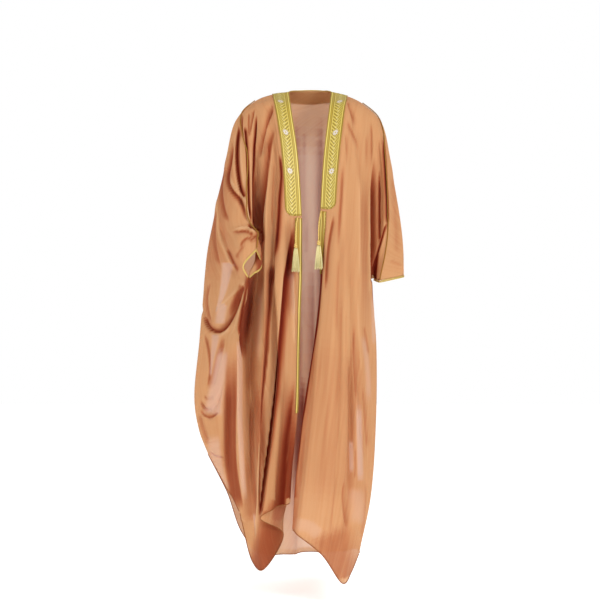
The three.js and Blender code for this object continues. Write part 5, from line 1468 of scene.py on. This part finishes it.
# ---- Hems ------------------------------------------------------------------------------------
# The lower edges are rolled and overcast by hand with dark thread.
HEM_RADIUS = 1.4
hem_thread = thread_material("overcast_thread", (0.40, 0.14, 0.04), (0.15, 0.04, 0.012), 1, 2.6,
                             0.0, 0.75)
for name, panel_name, grid, columns, facing in (
        ("front_right", "cloth_right", right_grid, np.arange(0, RIGHT_SIDE + 1), 1),
        ("front_left", "cloth_left", left_grid, np.arange(0, LEFT_SIDE + 1), -1),
        ("back", "cloth_back", back_grid, np.arange(BACK_SIDE_RIGHT, BACK_SIDE_LEFT + 1), 1)):
    edge = lip(grid, len(grid) - 1, columns, facing)
    path = edge[:, :3] + edge[:, 6:] * (HEM_RADIUS - 0.2)
    cord = sewn_cord(f"rolled_{name}", path, edge[:, 3:6], 1.6, HEM_RADIUS, hem_thread, left_off=2)
    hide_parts(f"hem_{name}")
    trims[panel_name].append(cord)

# ---- Floor, light and backdrop ---------------------------------------------------------------
# A white floor just below the hem, a white room, a large soft key light from the front, on the
# side of the wearer's left, and a weak fill from the other side.
FLOOR_HEIGHT = -1.53
FLOOR_HALF = 6.0
FLOOR_GLOW = 0.5
ROOM_LIGHT = 0.62
LIGHTS = {"key": dict(power=86, size=1.2, place=(2.3, -2.7, 1.1), aim=(0, 0, -0.6)),
          "fill": dict(power=46, size=2.4, place=(-2.4, -2.2, 0.4), aim=(0, 0, -0.7))}
floor_mesh = bpy.data.meshes.new("floor")
floor_corners = [(x * FLOOR_HALF, y * FLOOR_HALF, FLOOR_HEIGHT)
                 for x, y in ((-1, -1), (1, -1), (1, 1), (-1, 1))]
floor_mesh.from_pydata(floor_corners, [], [(0, 1, 2, 3)])
floor = bpy.data.objects.new("floor", floor_mesh)
floor_finish, tree, output = new_material("floor")
matt = node(tree, "ShaderNodeBsdfDiffuse", {"Color": (0.9, 0.9, 0.9, 1)})
glow = node(tree, "ShaderNodeEmission", {"Color": (1, 1, 1, 1), "Strength": FLOOR_GLOW})
both = node(tree, "ShaderNodeAddShader", {0: matt.outputs[0], 1: glow.outputs[0]})
tree.links.new(both.outputs[0], output.inputs[0])
floor_mesh.materials.append(floor_finish)
bpy.context.collection.objects.link(floor)

world = bpy.data.worlds.new("room")
world.use_nodes = True
tree = world.node_tree
tree.nodes.clear()
seen = node(tree, "ShaderNodeLightPath").outputs["Is Camera Ray"]
brightness = node(tree, "ShaderNodeMapRange", {0: seen, 3: ROOM_LIGHT, 4: 1.0}).outputs[0]
room = node(tree, "ShaderNodeBackground", {"Color": (1, 1, 1, 1), "Strength": brightness})
tree.links.new(room.outputs[0], node(tree, "ShaderNodeOutputWorld").inputs[0])
bpy.context.scene.world = world
for name, lamp in LIGHTS.items():
    light_data = bpy.data.lights.new(name, "AREA")
    light_data.energy = lamp["power"]
    light_data.size = lamp["size"]
    light = bpy.data.objects.new(name, light_data)
    light.location = lamp["place"]
    ray = np.array(lamp["aim"]) - np.array(lamp["place"])
    light.rotation_euler = (math.atan2(math.hypot(ray[0], ray[1]), -ray[2]), 0,
                            math.atan2(ray[1], ray[0]) - math.pi / 2)
    bpy.context.collection.objects.link(light)
bpy.context.scene.view_settings.view_transform = "Standard"
bpy.context.scene.cycles.transparent_max_bounces = 32
